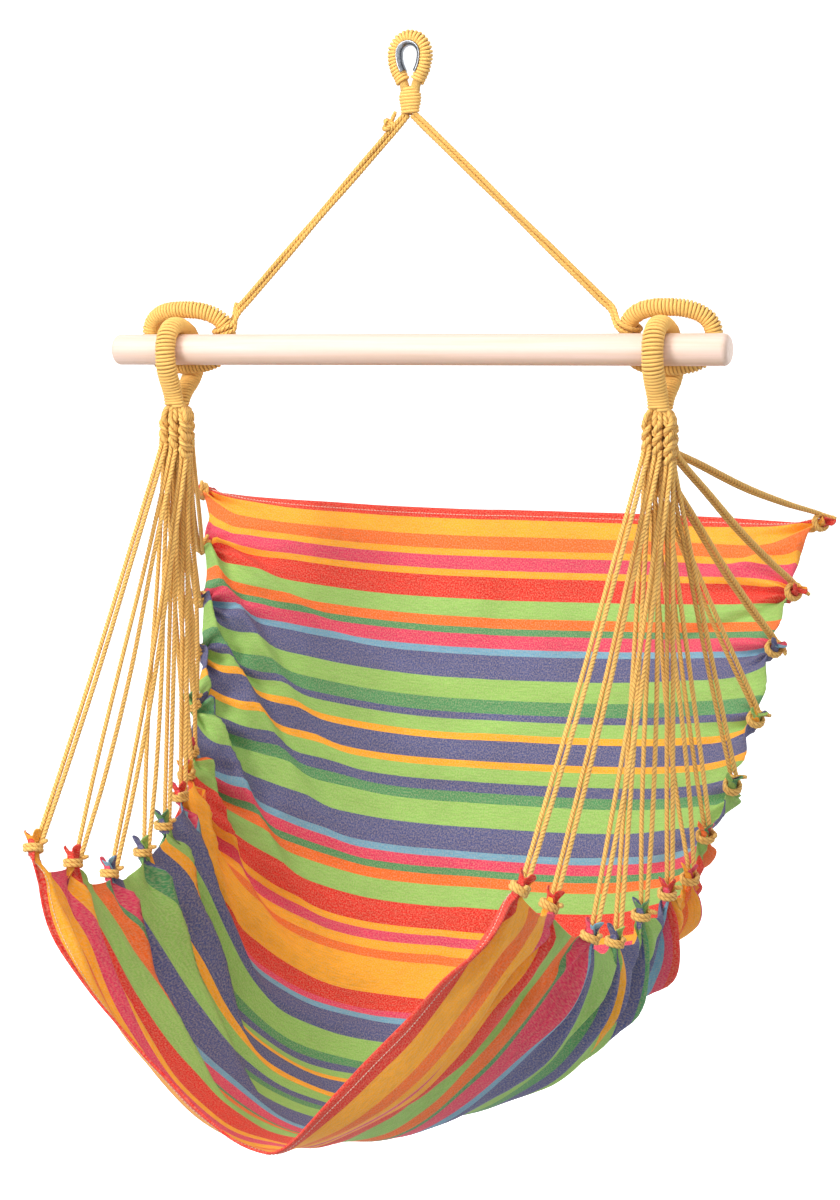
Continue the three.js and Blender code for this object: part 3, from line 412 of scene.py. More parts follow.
def draw_run(mesh, points, section, turns=None, scales=None, centres=None):
    """Draw a section along close points as a bevelled curve, and add it to the mesh.

    With a centre for each point, the side that faces the centre counts as the groove and gets painted shade.
    """
    outline = bpy.data.objects.new("section", poly_curve("section", [c for c, _ in reversed(section)], True))
    line = poly_curve("run", points)
    line.bevel_mode = "OBJECT"
    line.bevel_object = outline
    line.use_fill_caps = True
    for i, place in enumerate(line.splines[0].points):
        place.tilt = turns[i] if turns else 0
        place.radius = scales[i] if scales else 1
    run = bpy.data.objects.new("run", line)
    bpy.context.scene.collection.objects.link(run)
    evaluated = run.evaluated_get(bpy.context.evaluated_depsgraph_get())
    data = bpy.data.meshes.new_from_object(evaluated)
    length = sum((b - a).length for a, b in zip(points, points[1:]))
    count = len(section)
    girth = sum((section[i][0] - section[i - 1][0]).length for i in range(count))
    radius = max(corner.length for corner, _ in section)
    # Each corner's groove value paints shade in the cord's material
    groove = data.attributes.new("groove", "FLOAT", "POINT").data
    uv = data.uv_layers[0].data
    for corner, spot in zip(data.loops, uv):
        along, around = spot.uv
        groove[corner.vertex_index].value = section[round(around * count) % count][1]
        spot.uv = (along * length, around * girth)
    # The side of each binding turn that faces the core is painted in shade, darkest where it meets the core
    if centres:
        near = KDTree(len(points))
        for index, point in enumerate(points):
            near.insert(point, index)
        near.balance()
        for vert in data.vertices:
            point, index, _ = near.find(vert.co)
            inward = (centres[index] - point).normalized()
            depth = 1 + inward.dot(vert.co - point) / radius
            groove[vert.index].value = min(max(depth, 0), 1) ** 2
    mesh.from_mesh(data)
    curves = run.data, outline.data
    bpy.data.objects.remove(run)
    bpy.data.objects.remove(outline)
    for curve in curves:
        bpy.data.curves.remove(curve)
    bpy.data.meshes.remove(data)


def same(value):
    """A reach that stays the same all along a route."""
    return lambda share: value


def sweep_cord(mesh, points, radius, hand=1, lay=None, ends=(1, 1)):
    """Sweep a twisted cord along points; hand is 1 or -1 for the way that its strands turn."""
    route = Route(points)
    lay = lay or settings().ropes.lay
    per_turn, fewest, worn = 7, 6, 2
    steps = max(int(route.length / lay * per_turn), fewest)
    shares = [i / steps for i in range(steps + 1)]
    turns = [hand * 2 * math.pi * share * route.length / lay for share in shares]
    # A cut end is a little thinner over its last two steps
    scales = [min(mix(ends[0], 1, min(i / worn, 1)), mix(ends[1], 1, min((steps - i) / worn, 1)))
              for i in range(steps + 1)]
    draw_run(mesh, [route.at(share) for share in shares], laid_section(radius), turns, scales)


def sweep_binding(mesh, route, reference, start, end, half_thickness, half_width, tightness=1.0):
    """Wind a thin cord round a route as one helix, whose outer side keeps the given reaches."""
    radius = settings().ropes.binding_diameter / 2
    span = (end - start) * route.length
    turns = max(round(span / (2 * radius * tightness)), 1)
    per_turn, sides = 18, 8
    # The turns lie a little unevenly, each rope in its own way
    uneven, pace, seed = 0.3 * radius, 0.9, span * 100
    points, centres = [], []
    for i in range(turns * per_turn + 1):
        share = start + (end - start) * i / (turns * per_turn)
        angle = 2 * math.pi * i / per_turn
        wander = uneven * noise.noise(Vector((i / per_turn * pace, seed, 0)))
        centre, _, out, side = route.axes(share, reference)
        outward = (half_thickness(share) - radius + wander) * math.cos(angle)
        sideways = (half_width(share) - radius + wander) * math.sin(angle)
        points.append(centre + out * outward + side * sideways)
        centres.append(centre)
    draw_run(mesh, points, round_section(radius, sides), centres=centres)


def sweep_core(mesh, route, reference, half_thickness, half_width, steps, closed=False):
    """Sweep the plain rope core under a binding, coloured all round in painted half shade where the binding
    shades it.
    """
    # Every corner gets the same groove value, painted as half shade
    shade, sides = 0.4, 16
    section = [(corner, shade) for corner, _ in round_section(1, sides)]
    shares = [i / steps for i in range(steps if closed else steps + 1)]
    stations = [route.station(s, reference, (half_thickness(s), half_width(s))) for s in shares]
    sweep(mesh, stations, section, closed)


def make_piece(name, mesh, material, body, stands_for=()):
    """Turn a bmesh into a piece that rides on a body and stands for its CAD nodes."""
    bmesh.ops.remove_doubles(mesh, verts=mesh.verts, dist=1e-6)
    bmesh.ops.recalc_face_normals(mesh, faces=mesh.faces)
    data = bpy.data.meshes.new(name)
    mesh.to_mesh(data)
    mesh.free()
    data.shade_smooth()
    data.materials.append(material)
    piece = bpy.data.objects.new(name, data)
    bpy.context.scene.collection.objects.link(piece)
    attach(piece, body)
    if stands_for:
        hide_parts(*stands_for)
    return piece


# Materials

def linear(hex_colour):
    """Turn an sRGB hex value into a linear colour with full alpha."""
    channels = [int(hex_colour[i:i + 2], 16) / 255 for i in (1, 3, 5)]
    return [c / 12.92 if c <= 0.04045 else ((c + 0.055) / 1.055) ** 2.4 for c in channels] + [1]


def add_node(material, kind, inputs=None, stops=(), **values):
    """Add a node with its settings, ramp stops, and values or links for its sockets."""
    tree = material.node_tree
    made = tree.nodes.new("ShaderNode" + kind)
    for name, value in values.items():
        setattr(made, name, value)
    for socket, value in (inputs or {}).items():
        if isinstance(value, bpy.types.NodeSocket):
            tree.links.new(value, made.inputs[socket])
        else:
            made.inputs[socket].default_value = value
    if stops:
        ramp = made.color_ramp
        for _ in stops[2:]:
            ramp.elements.new(1)
        for element, (position, colour) in zip(ramp.elements, stops):
            element.position = position
            element.color = colour
    return made


def new_material(name):
    """A material with only its output and a Principled shader."""
    material = bpy.data.materials.new(name)
    material.use_nodes = True
    return material, material.node_tree.nodes["Principled BSDF"]


def wave_scale(length):
    """The Wave texture's scale for bands of a given length, in metres."""
    return 2 * math.pi / (20 * length)


def cotton_cord(name, pale, shade, yarn_pitch):
    """Twisted cotton cord: matt and soft, with painted shade in the grooves, and fine slanting yarns."""
    material, shader = new_material(name)
    spots = add_node(material, "TexCoord")
    depth = add_node(material, "Attribute", attribute_name="groove")
    # Yarn ends and uneven dye, in patches of about 4 mm and 60 mm
    fine = add_node(
        material, "TexNoise", {"Vector": spots.outputs["Object"], "Scale": 1 / 0.004, "Detail": 4})
    broad = add_node(
        material, "TexNoise", {"Vector": spots.outputs["Object"], "Scale": 1 / 0.06, "Detail": 2})
    # The yarns slant across the cord
    yarns = add_node(
        material, "Mapping", {"Vector": spots.outputs["UV"], "Rotation": (0, 0, math.radians(35))})
    lines = add_node(
        material, "TexWave", {"Vector": yarns.outputs[0], "Scale": wave_scale(yarn_pitch), "Distortion": 1.5})
    mixed = add_node(material, "Math", {0: fine.outputs["Fac"], 1: broad.outputs["Fac"]}, operation="ADD")
    patchy = add_node(material, "Math", {0: mixed.outputs[0], 1: 0.5, 2: -0.5}, operation="MULTIPLY_ADD")
    # Painted shade: the groove value darkens the cord towards its shade colour; the yarn ends and uneven dye
    # vary it
    groove_shade_and_dye = add_node(material, "Math", {0: depth.outputs["Fac"], 1: patchy.outputs[0]}, operation="ADD")
    middle = [mix(a, b, 0.3) for a, b in zip(linear(pale), linear(shade))]
    shade_and_dye_colour = add_node(
        material, "ValToRGB", {"Fac": groove_shade_and_dye.outputs[0]},
        stops=[(0.1, linear(pale)), (0.6, middle), (1, linear(shade))])
    material.node_tree.links.new(shade_and_dye_colour.outputs["Color"], shader.inputs["Base Color"])
    fuzz = add_node(
        material, "Math", {0: lines.outputs["Fac"], 1: fine.outputs["Fac"]}, operation="ADD")
    bump = add_node(
        material, "Bump", {"Height": fuzz.outputs[0], "Strength": 0.55, "Distance": 0.0006})
    material.node_tree.links.new(bump.outputs["Normal"], shader.inputs["Normal"])
    shader.inputs["Roughness"].default_value = 0.88
    shader.inputs["Sheen Weight"].default_value = 0.1
    shader.inputs["Sheen Roughness"].default_value = 0.5
    return material


def cotton_rope():
    """Golden twisted cotton cord with yarns of about 1 mm, drawn 1.5 mm so that they show."""
    colours = settings().colours
    return shared_material("twisted_cotton_cord", lambda name: cotton_cord(
        name, colours.cord, colours.cord_shade, 0.0015))


def cotton_binding():
    """The thinner golden cord that binds the rings and loops, with yarns of 1.2 mm."""
    colours = settings().colours
    return shared_material("cotton_binding_cord", lambda name: cotton_cord(
        name, colours.cord, colours.cord_shade, 0.0012))


def shared_material(name, make):
    """The material of that name, made at its first use."""
    return bpy.data.materials.get(name) or make(name)


def beech_wood(name):
    """Turned beech under thin varnish: pale, with short fine flecks along the grain and a soft gloss."""
    colours = settings().colours
    material, shader = new_material(name)
    spots = add_node(material, "TexCoord")
    # Grain in bands of about 6 mm, and pores of 0.5 mm, drawn 1.2 mm by 12 mm so that they show
    long_grain = add_node(
        material, "Mapping", {"Vector": spots.outputs["Object"], "Scale": (1 / 0.25, 1 / 0.006, 1 / 0.006)})
    grain = add_node(
        material, "TexNoise", {"Vector": long_grain.outputs[0], "Scale": 1, "Detail": 6, "Distortion": 0.6})
    pore_way = add_node(
        material, "Mapping",
        {"Vector": spots.outputs["Object"], "Scale": (1 / 0.012, 1 / 0.0012, 1 / 0.0012)})
    pores = add_node(material, "TexNoise", {"Vector": pore_way.outputs[0], "Scale": 1, "Detail": 2})
    flecks = add_node(
        material, "ValToRGB", {"Fac": pores.outputs["Fac"]},
        stops=[(0.58, (0, 0, 0, 1)), (0.72, (1, 1, 1, 1))])
    tone = add_node(
        material, "ValToRGB", {"Fac": grain.outputs["Fac"]},
        stops=[(0.3, linear(colours.beech)), (0.75, linear(colours.beech_grain))])
    fleck_share = add_node(material, "Math", {0: flecks.outputs["Color"], 1: 0.3}, operation="MULTIPLY")
    wood = add_node(
        material, "Mix", {"Factor": fleck_share.outputs[0], 6: tone.outputs["Color"],
                          7: linear(colours.beech_grain)}, data_type="RGBA")
    material.node_tree.links.new(wood.outputs[2], shader.inputs["Base Color"])
    gloss = add_node(material, "MapRange", {"Value": pores.outputs["Fac"], "To Min": 0.42, "To Max": 0.6})
    material.node_tree.links.new(gloss.outputs["Result"], shader.inputs["Roughness"])
    bump = add_node(
        material, "Bump", {"Height": grain.outputs["Fac"], "Strength": 0.25, "Distance": 0.0004})
    material.node_tree.links.new(bump.outputs["Normal"], shader.inputs["Normal"])
    shader.inputs["Coat Weight"].default_value = 0.12
    shader.inputs["Coat Roughness"].default_value = 0.35
    return material


def zinc_plated_steel(name):
    """Rolled steel with bright zinc plating: grey mirror with faint spangle and soft scratches."""
    material, shader = new_material(name)
    spots = add_node(material, "TexCoord")
    spangle = add_node(material, "TexVoronoi", {"Vector": spots.outputs["Object"], "Scale": 1 / 0.004})
    scuffs = add_node(
        material, "TexNoise", {"Vector": spots.outputs["Object"], "Scale": 1 / 0.0015, "Detail": 5})
    tone = add_node(
        material, "ValToRGB", {"Fac": spangle.outputs["Distance"]},
        stops=[(0, linear(settings().colours.steel)), (1, linear(settings().colours.steel_shade))])
    gloss = add_node(material, "MapRange", {"Value": scuffs.outputs["Fac"], "To Min": 0.16, "To Max": 0.38})
    bump = add_node(
        material, "Bump", {"Height": scuffs.outputs["Fac"], "Strength": 0.1, "Distance": 0.0002})
    links = material.node_tree.links
    links.new(tone.outputs["Color"], shader.inputs["Base Color"])
    links.new(gloss.outputs["Result"], shader.inputs["Roughness"])
    links.new(bump.outputs["Normal"], shader.inputs["Normal"])
    shader.inputs["Metallic"].default_value = 1
    return material


def stripe_stops():
    """Each stripe's start, as a share of the cloth's length, and its colour, front hem first."""
    colours = settings().colours
    whole_repeat = *HALF_STRIPES, *reversed(HALF_STRIPES)
    bands = [FRONT_HEM_STRIPE, *HALF_STRIPES, *FRONT_STRIPES, *whole_repeat, TOP_HEM_STRIPE]
    starts = [0, *accumulate(width for _, width in bands)]
    whole = starts[-1]
    return [(start / whole, linear(getattr(colours, name))) for start, (name, _) in zip(starts, bands)]


def striped_cotton(name):
    """Plain-woven yarn-dyed cotton: matt, with thread slubs, a heathered cross thread and a soft sheen."""
    material, shader = new_material(name)
    tree = material.node_tree
    spots = add_node(material, "TexCoord")
    place = add_node(material, "SeparateXYZ", {0: spots.outputs["UV"]})
    share = add_node(
        material, "Math", {0: place.outputs["Y"], 1: settings().sling.flat_length}, operation="DIVIDE")
    # The stripes fill more than one colour ramp, so each ramp holds a run of them
    stops = stripe_stops()
    per_ramp = 30
    colour = None
    for first in range(0, len(stops), per_ramp):
        ramp = add_node(material, "ValToRGB", {"Fac": share.outputs[0]}, stops=stops[first:first + per_ramp])
        ramp.color_ramp.interpolation = "CONSTANT"
        if colour is None:
            colour = ramp.outputs["Color"]
            continue
        beyond = add_node(
            material, "Math", {0: share.outputs[0], 1: stops[first][0]}, operation="GREATER_THAN")
        joined = add_node(
            material, "Mix", {"Factor": beyond.outputs[0], 6: colour, 7: ramp.outputs["Color"]},
            data_type="RGBA")
        colour = joined.outputs[2]
    # Slubs along the stripes: threads of 0.7 mm, drawn 2 mm by 14 mm so that they show
    slub_way = add_node(
        material, "Mapping", {"Vector": spots.outputs["UV"], "Scale": (1 / 0.014, 1 / 0.002, 1)})
    slubs = add_node(material, "TexNoise", {"Vector": slub_way.outputs[0], "Scale": 1, "Detail": 3})
    # The cross threads of 0.7 mm show as paler specks, drawn 1.8 mm by 2.2 mm so that they show
    speck_way = add_node(
        material, "Mapping", {"Vector": spots.outputs["UV"], "Scale": (1 / 0.0018, 1 / 0.0022, 1)})
    specks = add_node(
        material, "TexNoise", {"Vector": speck_way.outputs[0], "Scale": 1, "Detail": 3, "Roughness": 0.6})
    value = add_node(
        material, "MapRange", {"Value": slubs.outputs["Fac"], "From Min": 0.25, "From Max": 0.75,
                               "To Min": 0.86, "To Max": 1.14})
    heather = add_node(
        material, "MapRange", {"Value": specks.outputs["Fac"], "From Min": 0.42, "From Max": 0.72,
                               "To Min": 0, "To Max": 0.33})
    # A broad unevenness of the dye and the wear, in patches of about 70 mm
    patches = add_node(material, "TexNoise", {"Vector": spots.outputs["UV"], "Scale": 1 / 0.07, "Detail": 3})
    worn = add_node(
        material, "MapRange", {"Value": patches.outputs["Fac"], "From Min": 0.3, "From Max": 0.7,
                               "To Min": 0.93, "To Max": 1.05})
    uneven = add_node(material, "Math", {0: value.outputs["Result"], 1: worn.outputs["Result"]},
                      operation="MULTIPLY")
    dyed = add_node(
        material, "HueSaturation", {"Color": colour, "Saturation": 1.06, "Value": uneven.outputs[0]})
    cloth = add_node(
        material, "Mix", {"Factor": heather.outputs["Result"], 6: dyed.outputs["Color"],
                          7: linear(settings().colours.cross_thread)}, data_type="RGBA")
    tree.links.new(cloth.outputs[2], shader.inputs["Base Color"])
    # The weave itself, threads both ways at 1.4 mm
    across = add_node(
        material, "TexWave", {"Vector": spots.outputs["UV"], "Scale": wave_scale(0.0014), "Distortion": 0.6},
        bands_direction="X")
    along = add_node(
        material, "TexWave", {"Vector": spots.outputs["UV"], "Scale": wave_scale(0.0014), "Distortion": 0.6},
        bands_direction="Y")
    weave = add_node(
        material, "Math", {0: across.outputs["Fac"], 1: along.outputs["Fac"]}, operation="MULTIPLY")
    relief = add_node(material, "Math", {0: weave.outputs[0], 1: slubs.outputs["Fac"]}, operation="ADD")
    bump = add_node(
        material, "Bump", {"Height": relief.outputs[0], "Strength": 0.35, "Distance": 0.0005})
    tree.links.new(bump.outputs["Normal"], shader.inputs["Normal"])
    shader.inputs["Roughness"].default_value = 0.9
    shader.inputs["Sheen Weight"].default_value = 0.06
    shader.inputs["Sheen Roughness"].default_value = 0.45
    return material


def cotton_thread(name):
    """Pale sewing thread, slightly uneven and matt."""
    material, shader = new_material(name)
    spots = add_node(material, "TexCoord")
    uneven = add_node(material, "TexNoise", {"Vector": spots.outputs["Object"], "Scale": 1 / 0.003})
    thread = linear(settings().colours.thread)
    tone = add_node(
        material, "ValToRGB", {"Fac": uneven.outputs["Fac"]},
        stops=[(0.3, [0.75 * c for c in thread[:3]] + [1]), (0.7, thread)])
    material.node_tree.links.new(tone.outputs["Color"], shader.inputs["Base Color"])
    shader.inputs["Roughness"].default_value = 0.8
    return material


def studio_paper(name):
    """Seamless studio paper, matt and almost white."""
    material, shader = new_material(name)
    spots = add_node(material, "TexCoord")
    fibre = add_node(material, "TexNoise", {"Vector": spots.outputs["Object"], "Scale": 3})
    paper = linear(settings().colours.studio)
    tone = add_node(
        material, "ValToRGB", {"Fac": fibre.outputs["Fac"]},
        stops=[(0, [0.98 * c for c in paper[:3]] + [1]), (1, paper)])
    material.node_tree.links.new(tone.outputs["Color"], shader.inputs["Base Color"])
    shader.inputs["Roughness"].default_value = 0.95
    # Lit from behind, so that the paper stays white round the chair
    shader.inputs["Emission Color"].default_value = paper
    shader.inputs["Emission Strength"].default_value = 0.9
    return material


# The routes of the ropes

def eye_route():
    """The eye's bight: up one leg, round the crown and down the other."""
    ropes = settings().ropes
    steps = 40
    crown_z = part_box("eye_serving")[1].z - ropes.eye_diameter / 2 - ropes.eye_bend_radius
    foot_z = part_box("eye_rope")[0].z
    leg = [
        Vector((ropes.eye_leg_spread, 0, foot_z)),
        Vector((ropes.eye_leg_spread, 0, foot_z + ropes.eye_neck_lead)),
        Vector((ropes.eye_bend_radius, 0, crown_z - ropes.eye_shoulder)),
        Vector((ropes.eye_bend_radius, 0, crown_z)),
    ]
    up = interpolate_bezier(*leg, steps)
    crown = [Vector((math.cos(a), 0, math.sin(a))) * ropes.eye_bend_radius + Z * crown_z
             for a in (math.pi * i / steps for i in range(1, steps))]
    down = [Vector((-p.x, 0, p.z)) for p in reversed(up)]
    return Route([*up, *crown, *down]), crown_z


def ring_route(side):
    """A hanger ring's middle line, leaning behind the bar and round a sling loop's crown."""
    ropes = settings().ropes
    low_reach = BAR_RADIUS + ropes.ring_diameter / 2 + RING_PLAY
    high_reach = crown_radius() + ropes.loop_thickness / 2 + ropes.ring_diameter / 2 + 2 * RING_PLAY
    # The lower run lies below and behind the bar, the upper one above and behind it
    low_angle, high_angle = math.radians(51), math.radians(22)
    low = (low_reach * math.sin(low_angle), -low_reach * math.cos(low_angle))
    high = (high_reach * math.sin(high_angle), high_reach * math.cos(high_angle))
    # The ring's two ends bulge back, and its corners are a little square
    bulge, squareness = 0.013, 0.8
    steps = 160
    points = []
    for i in range(steps):
        angle = 2 * math.pi * i / steps
        level = math.copysign(abs(math.cos(angle)) ** squareness, math.cos(angle))
        rise = (1 + math.copysign(abs(math.sin(angle)) ** squareness, math.sin(angle))) / 2
        points.append(Vector((
            side * (loop_centre() - ropes.ring_half_length * level),
            mix(low[0], high[0], rise) + bulge * level ** 2,
            BAR_MIDDLE.z + mix(low[1], high[1], rise),
        )))
    return Route(points, closed=True)


def loop_centre():
    """How far out from the middle the sling loops hang."""
    return (CLEW_LOW.x + CLEW_HIGH.x) / 2


def crown_radius():
    """From the bar's axis to the middle of the loop that lies over it."""
    return BAR_RADIUS + LOOP_PLAY + settings().ropes.loop_thickness / 2


def loop_route(side):
    """A sling loop: up in front of the bar, over it, round the ring's lower arc and down to the neck."""
    ropes = settings().ropes
    around_bar = crown_radius()
    swell = BAR_RADIUS + ropes.ring_diameter + ropes.loop_thickness / 2 + 2 * RING_PLAY - around_bar
    across = side * loop_centre()

    def limb(facing, out, drop):
        return Vector((across, facing * out * around_bar, BAR_MIDDLE.z - drop * ropes.loop_drop))

    # The limbs' ends lie close together in the neck
    neck = 0.0069 / around_bar
    front = [limb(-1, out, drop) for out, drop in ((neck, 1), *FRONT_LIMB_SHARES)]
    crown = []
    for degrees, share in zip(CROWN_ANGLES, CROWN_SWELL_SHARES):
        angle = math.radians(degrees)
        reach = around_bar + share * swell
        crown.append(Vector((across, -reach * math.cos(angle), BAR_MIDDLE.z + reach * math.sin(angle))))
    back = [limb(1, out, drop) for out, drop in (*BACK_LIMB_SHARES, (neck, 1))]
    return Route(smooth_path([*front, *crown, *back]))


# The drape of the sling

def ear_point(side, share):
    """Where an ear is lashed; share runs along the side's edge from the front hem to the top hem."""
    sling = settings().sling
    run = sling.front_reach + sling.back_reach
    return Vector((
        side * sling.half_width * read_table(EAR_OUT_SHARES, share),
        run * read_table(EAR_BACK_SHARES, share) - sling.front_reach,
        BAR_MIDDLE.z - sling.drop * read_table(EAR_DROP_SHARES[side], share),
    ))


def cloth_point(share, across):
    """The drape without its folds; across runs from -1 at the left ears to 1 at the right ones."""
    sling = settings().sling
    side = -1 if across < 0 else 1
    edge = ear_point(side, share)
    width = abs(across)
    run = sling.front_reach + sling.back_reach
    middle_y = run * read_table(MIDDLE_BACK_SHARES, share) - sling.front_reach
    middle_z = BAR_MIDDLE.z - sling.drop * read_table(MIDDLE_DROP_SHARES, share)
    return Vector((
        edge.x * (1 - max(1 - width, 0) ** read_table(SPREAD_POWERS[side], share)),
        middle_y + (edge.y - middle_y) * width ** 2,
        middle_z + (edge.z - middle_z) * width ** read_table(RISE_POWERS[side], share),
    ))


def cloth_normal(share, across):
    """The way out of the drape, away from the sitter."""
    step = 0.01
    inner = across * (1 - 2 * step)
    along = cloth_point(share + step, across) - cloth_point(share - step, across)
    over = cloth_point(share, inner + step) - cloth_point(share, inner - step)
    return along.cross(over).normalized()


class Ear:
    """One gathered ear: its place, its axes and where its cord leaves the clew."""

    # How strongly the cloth turns the ear its own way, against the cord's pull of 1
    CLOTH_PULL = 1.4

    def __init__(self, side, index):
        self.side, self.index = side, index
        share = index / (settings().sling.ears - 1)
        just_inside = 0.92
        self.centre = ear_point(side, share)
        outward = (self.centre - cloth_point(share, side * just_inside)).normalized()
        column = index % CORD_COLUMNS - (CORD_COLUMNS - 1) / 2
        self.exit = Vector((
            side * loop_centre() + column * 2 * cord_pitch(),
            EXIT_ACROSS_SHARES[index] * CLEW_SIZE.y / 2,
            CLEW_LOW.z + EXIT_UP_SHARES[index] * CLEW_SIZE.z,
        ))
        pull = (self.exit - self.centre).normalized()
        self.axis = (outward * self.CLOTH_PULL + pull).normalized()
        # The side on which the cord's legs come in, and the way across them
        self.leg_side = self.axis.cross(X).normalized()
        if self.leg_side.dot(pull) < 0:
            self.leg_side.negate()
        self.beside = self.axis.cross(self.leg_side)
        if self.beside.x < 0:
            self.beside.negate()
        # The way in which the cloth's rows follow each other, towards the top hem
        self.row_way = self.leg_side * math.copysign(1, self.leg_side.y)


def cord_pitch():
    """Distance between the two legs of one cord in the clew."""
    return settings().ropes.cord_diameter + LEG_GAP


def all_ears(side):
    return [Ear(side, index) for index in range(settings().sling.ears)]


# The pieces

class HAMMOCK_OT_bar(bpy.types.Operator):
    """Turn the beech spreader bar with its softened ends"""

    bl_idname = "hammock_chair.bar"
    bl_label = "Spreader Bar"

    def execute(self, context):
        half = (BAR_HIGH.x - BAR_LOW.x) / 2
        softened = 0.007
        mesh = bmesh.new()
        corners = [Vector((-half, 0, 0)), Vector((-half, 0, BAR_RADIUS)), Vector((half, 0, BAR_RADIUS)),
                   Vector((half, 0, 0))]
        outline = [mesh.verts.new(corner) for corner in corners]
        for pair in zip(outline, outline[1:]):
            mesh.edges.new(pair)
        bmesh.ops.bevel(
            mesh, geom=outline[1:3], offset=softened, segments=6, profile=0.5, affect="VERTICES",
            material=-1)
        bmesh.ops.spin(
            mesh, geom=mesh.verts[:] + mesh.edges[:], cent=(0, 0, 0), axis=X, angle=2 * math.pi, steps=64,
            use_merge=True)
        bmesh.ops.remove_doubles(mesh, verts=mesh.verts, dist=1e-6)
        long_edges = [e for e in mesh.edges if e.calc_length() > half]
        bmesh.ops.subdivide_edges(mesh, edges=long_edges, cuts=24)
        bmesh.ops.translate(mesh, verts=mesh.verts, vec=BAR_MIDDLE)
        material = shared_material("turned_beech", beech_wood)
        make_piece("beech_bar", mesh, material, "bar", ["spreader_bar"])
        return {"FINISHED"}


class HAMMOCK_OT_eye(bpy.types.Operator):
    """Bind the rope eye and bend its steel thimble"""

    bl_idname = "hammock_chair.eye"
    bl_label = "Rope Eye"

    def execute(self, context):
        ropes = settings().ropes
        route, crown_z = eye_route()
        radius = ropes.eye_diameter / 2
        core = bmesh.new()
        inner = same(radius - CORE_INSET * ropes.binding_diameter)
        sweep_core(core, route, Y, inner, inner, steps=60)
        make_piece("eye_core", core, cotton_rope(), "eye", ["eye_rope"])
        # The binding stops where the throat's whipping begins
        start, end = 0.075, 0.925
        binding = bmesh.new()
        sweep_binding(binding, route, Y, start, end, same(radius), same(radius), tightness=0.96)
        make_piece("eye_binding", binding, cotton_binding(), "eye", ["eye_serving"])
        self.thimble(route, crown_z)
        return {"FINISHED"}

    def thimble(self, route, crown_z):
        """A gutter of steel sheet on the inner side of the eye."""
        ropes = settings().ropes
        gutter = ropes.eye_diameter / 2 + 0.0003
        wall = 0.0016
        wrap = math.radians(62)
        sides, steps = 16, 60
        # Both ends stand above the throat
        start, end = 0.135, 0.865

        def arc(radius, first, last):
            angles = [math.pi + mix(first, last, i / sides) for i in range(sides + 1)]
            return [(Vector((math.cos(a), math.sin(a), 0)) * radius, 0) for a in angles]

        section = arc(gutter, -wrap, wrap) + arc(gutter + wall, wrap, -wrap)
        middle = Vector((0, 0, crown_z))
        point, _, out, _ = route.axes(0.5, Y)
        if out.dot(middle - point) > 0:
            section = [(Vector((-corner.x, corner.y, 0)), depth) for corner, depth in section]
        mesh = bmesh.new()
        stations = [route.station(mix(start, end, i / steps), Y) for i in range(steps + 1)]
        sweep(mesh, stations, section)
        material = shared_material("zinc_plated_steel", zinc_plated_steel)
        make_piece("steel_thimble", mesh, material, "eye", ["thimble"])


class HAMMOCK_OT_throat(bpy.types.Operator):
    """Gather the rope legs under the eye and whip them with cord"""

    bl_idname = "hammock_chair.throat"
    bl_label = "Throat"

    def execute(self, context):
        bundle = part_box("throat_bundle")[1]
        whip_low, whip_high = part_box("throat_whipping")
        top, foot = bundle.z - 0.001, whip_low.z
        # A round dome above, then a gentle taper down to the foot
        shoulder = bundle.z - bundle.x
        flat = bundle.y / bundle.x
        top_reach = whip_high.x
        foot_reach, least_reach, fuller = 0.8 * top_reach, 0.004, 0.0012
        steps = 60
        route = Route([Vector((0, 0, mix(top, foot, i / steps))) for i in range(steps + 1)])
        cover = 0.7 * settings().ropes.binding_diameter

        def wide(share):
            z = mix(top, foot, share)
            if z > shoulder:
                return math.sqrt(max(top_reach ** 2 - (z - shoulder) ** 2, least_reach ** 2))
            return mix(top_reach, foot_reach, (shoulder - z) / (shoulder - foot))

        def deep(share):
            return wide(share) * flat + fuller

        core = bmesh.new()
        sweep_core(core, route, X, lambda s: deep(s) - cover, lambda s: wide(s) - cover, steps=24)
        make_piece("throat_core", core, cotton_rope(), "throat", ["throat_bundle"])
        # The dome's very top is left open, where the eye's legs come in
        start = 0.06
        binding = bmesh.new()
        sweep_binding(binding, route, X, start, 1, deep, wide, tightness=0.94)
        make_piece("throat_binding", binding, cotton_binding(), "throat", ["throat_whipping"])
        return {"FINISHED"}


class HAMMOCK_OT_rings(bpy.types.Operator):
    """Bind the two hanger rings"""

    bl_idname = "hammock_chair.rings"
    bl_label = "Hanger Rings"

    def execute(self, context):
        ropes = settings().ropes
        outer = same(ropes.ring_diameter / 2)
        inner = same(ropes.ring_diameter / 2 - CORE_INSET * ropes.binding_diameter)
        for name, side in SIDES.items():
            route = ring_route(side)
            core = bmesh.new()
            sweep_core(core, route, Y, inner, inner, steps=72, closed=True)
            make_piece(f"{name}_ring_core", core, cotton_rope(), "hanger",
                       [f"{name}_hanger_ring"])
            binding = bmesh.new()
            sweep_binding(binding, route, Y, 0, 1, outer, outer)
            make_piece(f"{name}_ring_binding", binding, cotton_binding(), "hanger",
                       [f"{name}_ring_serving"])
        return {"FINISHED"}


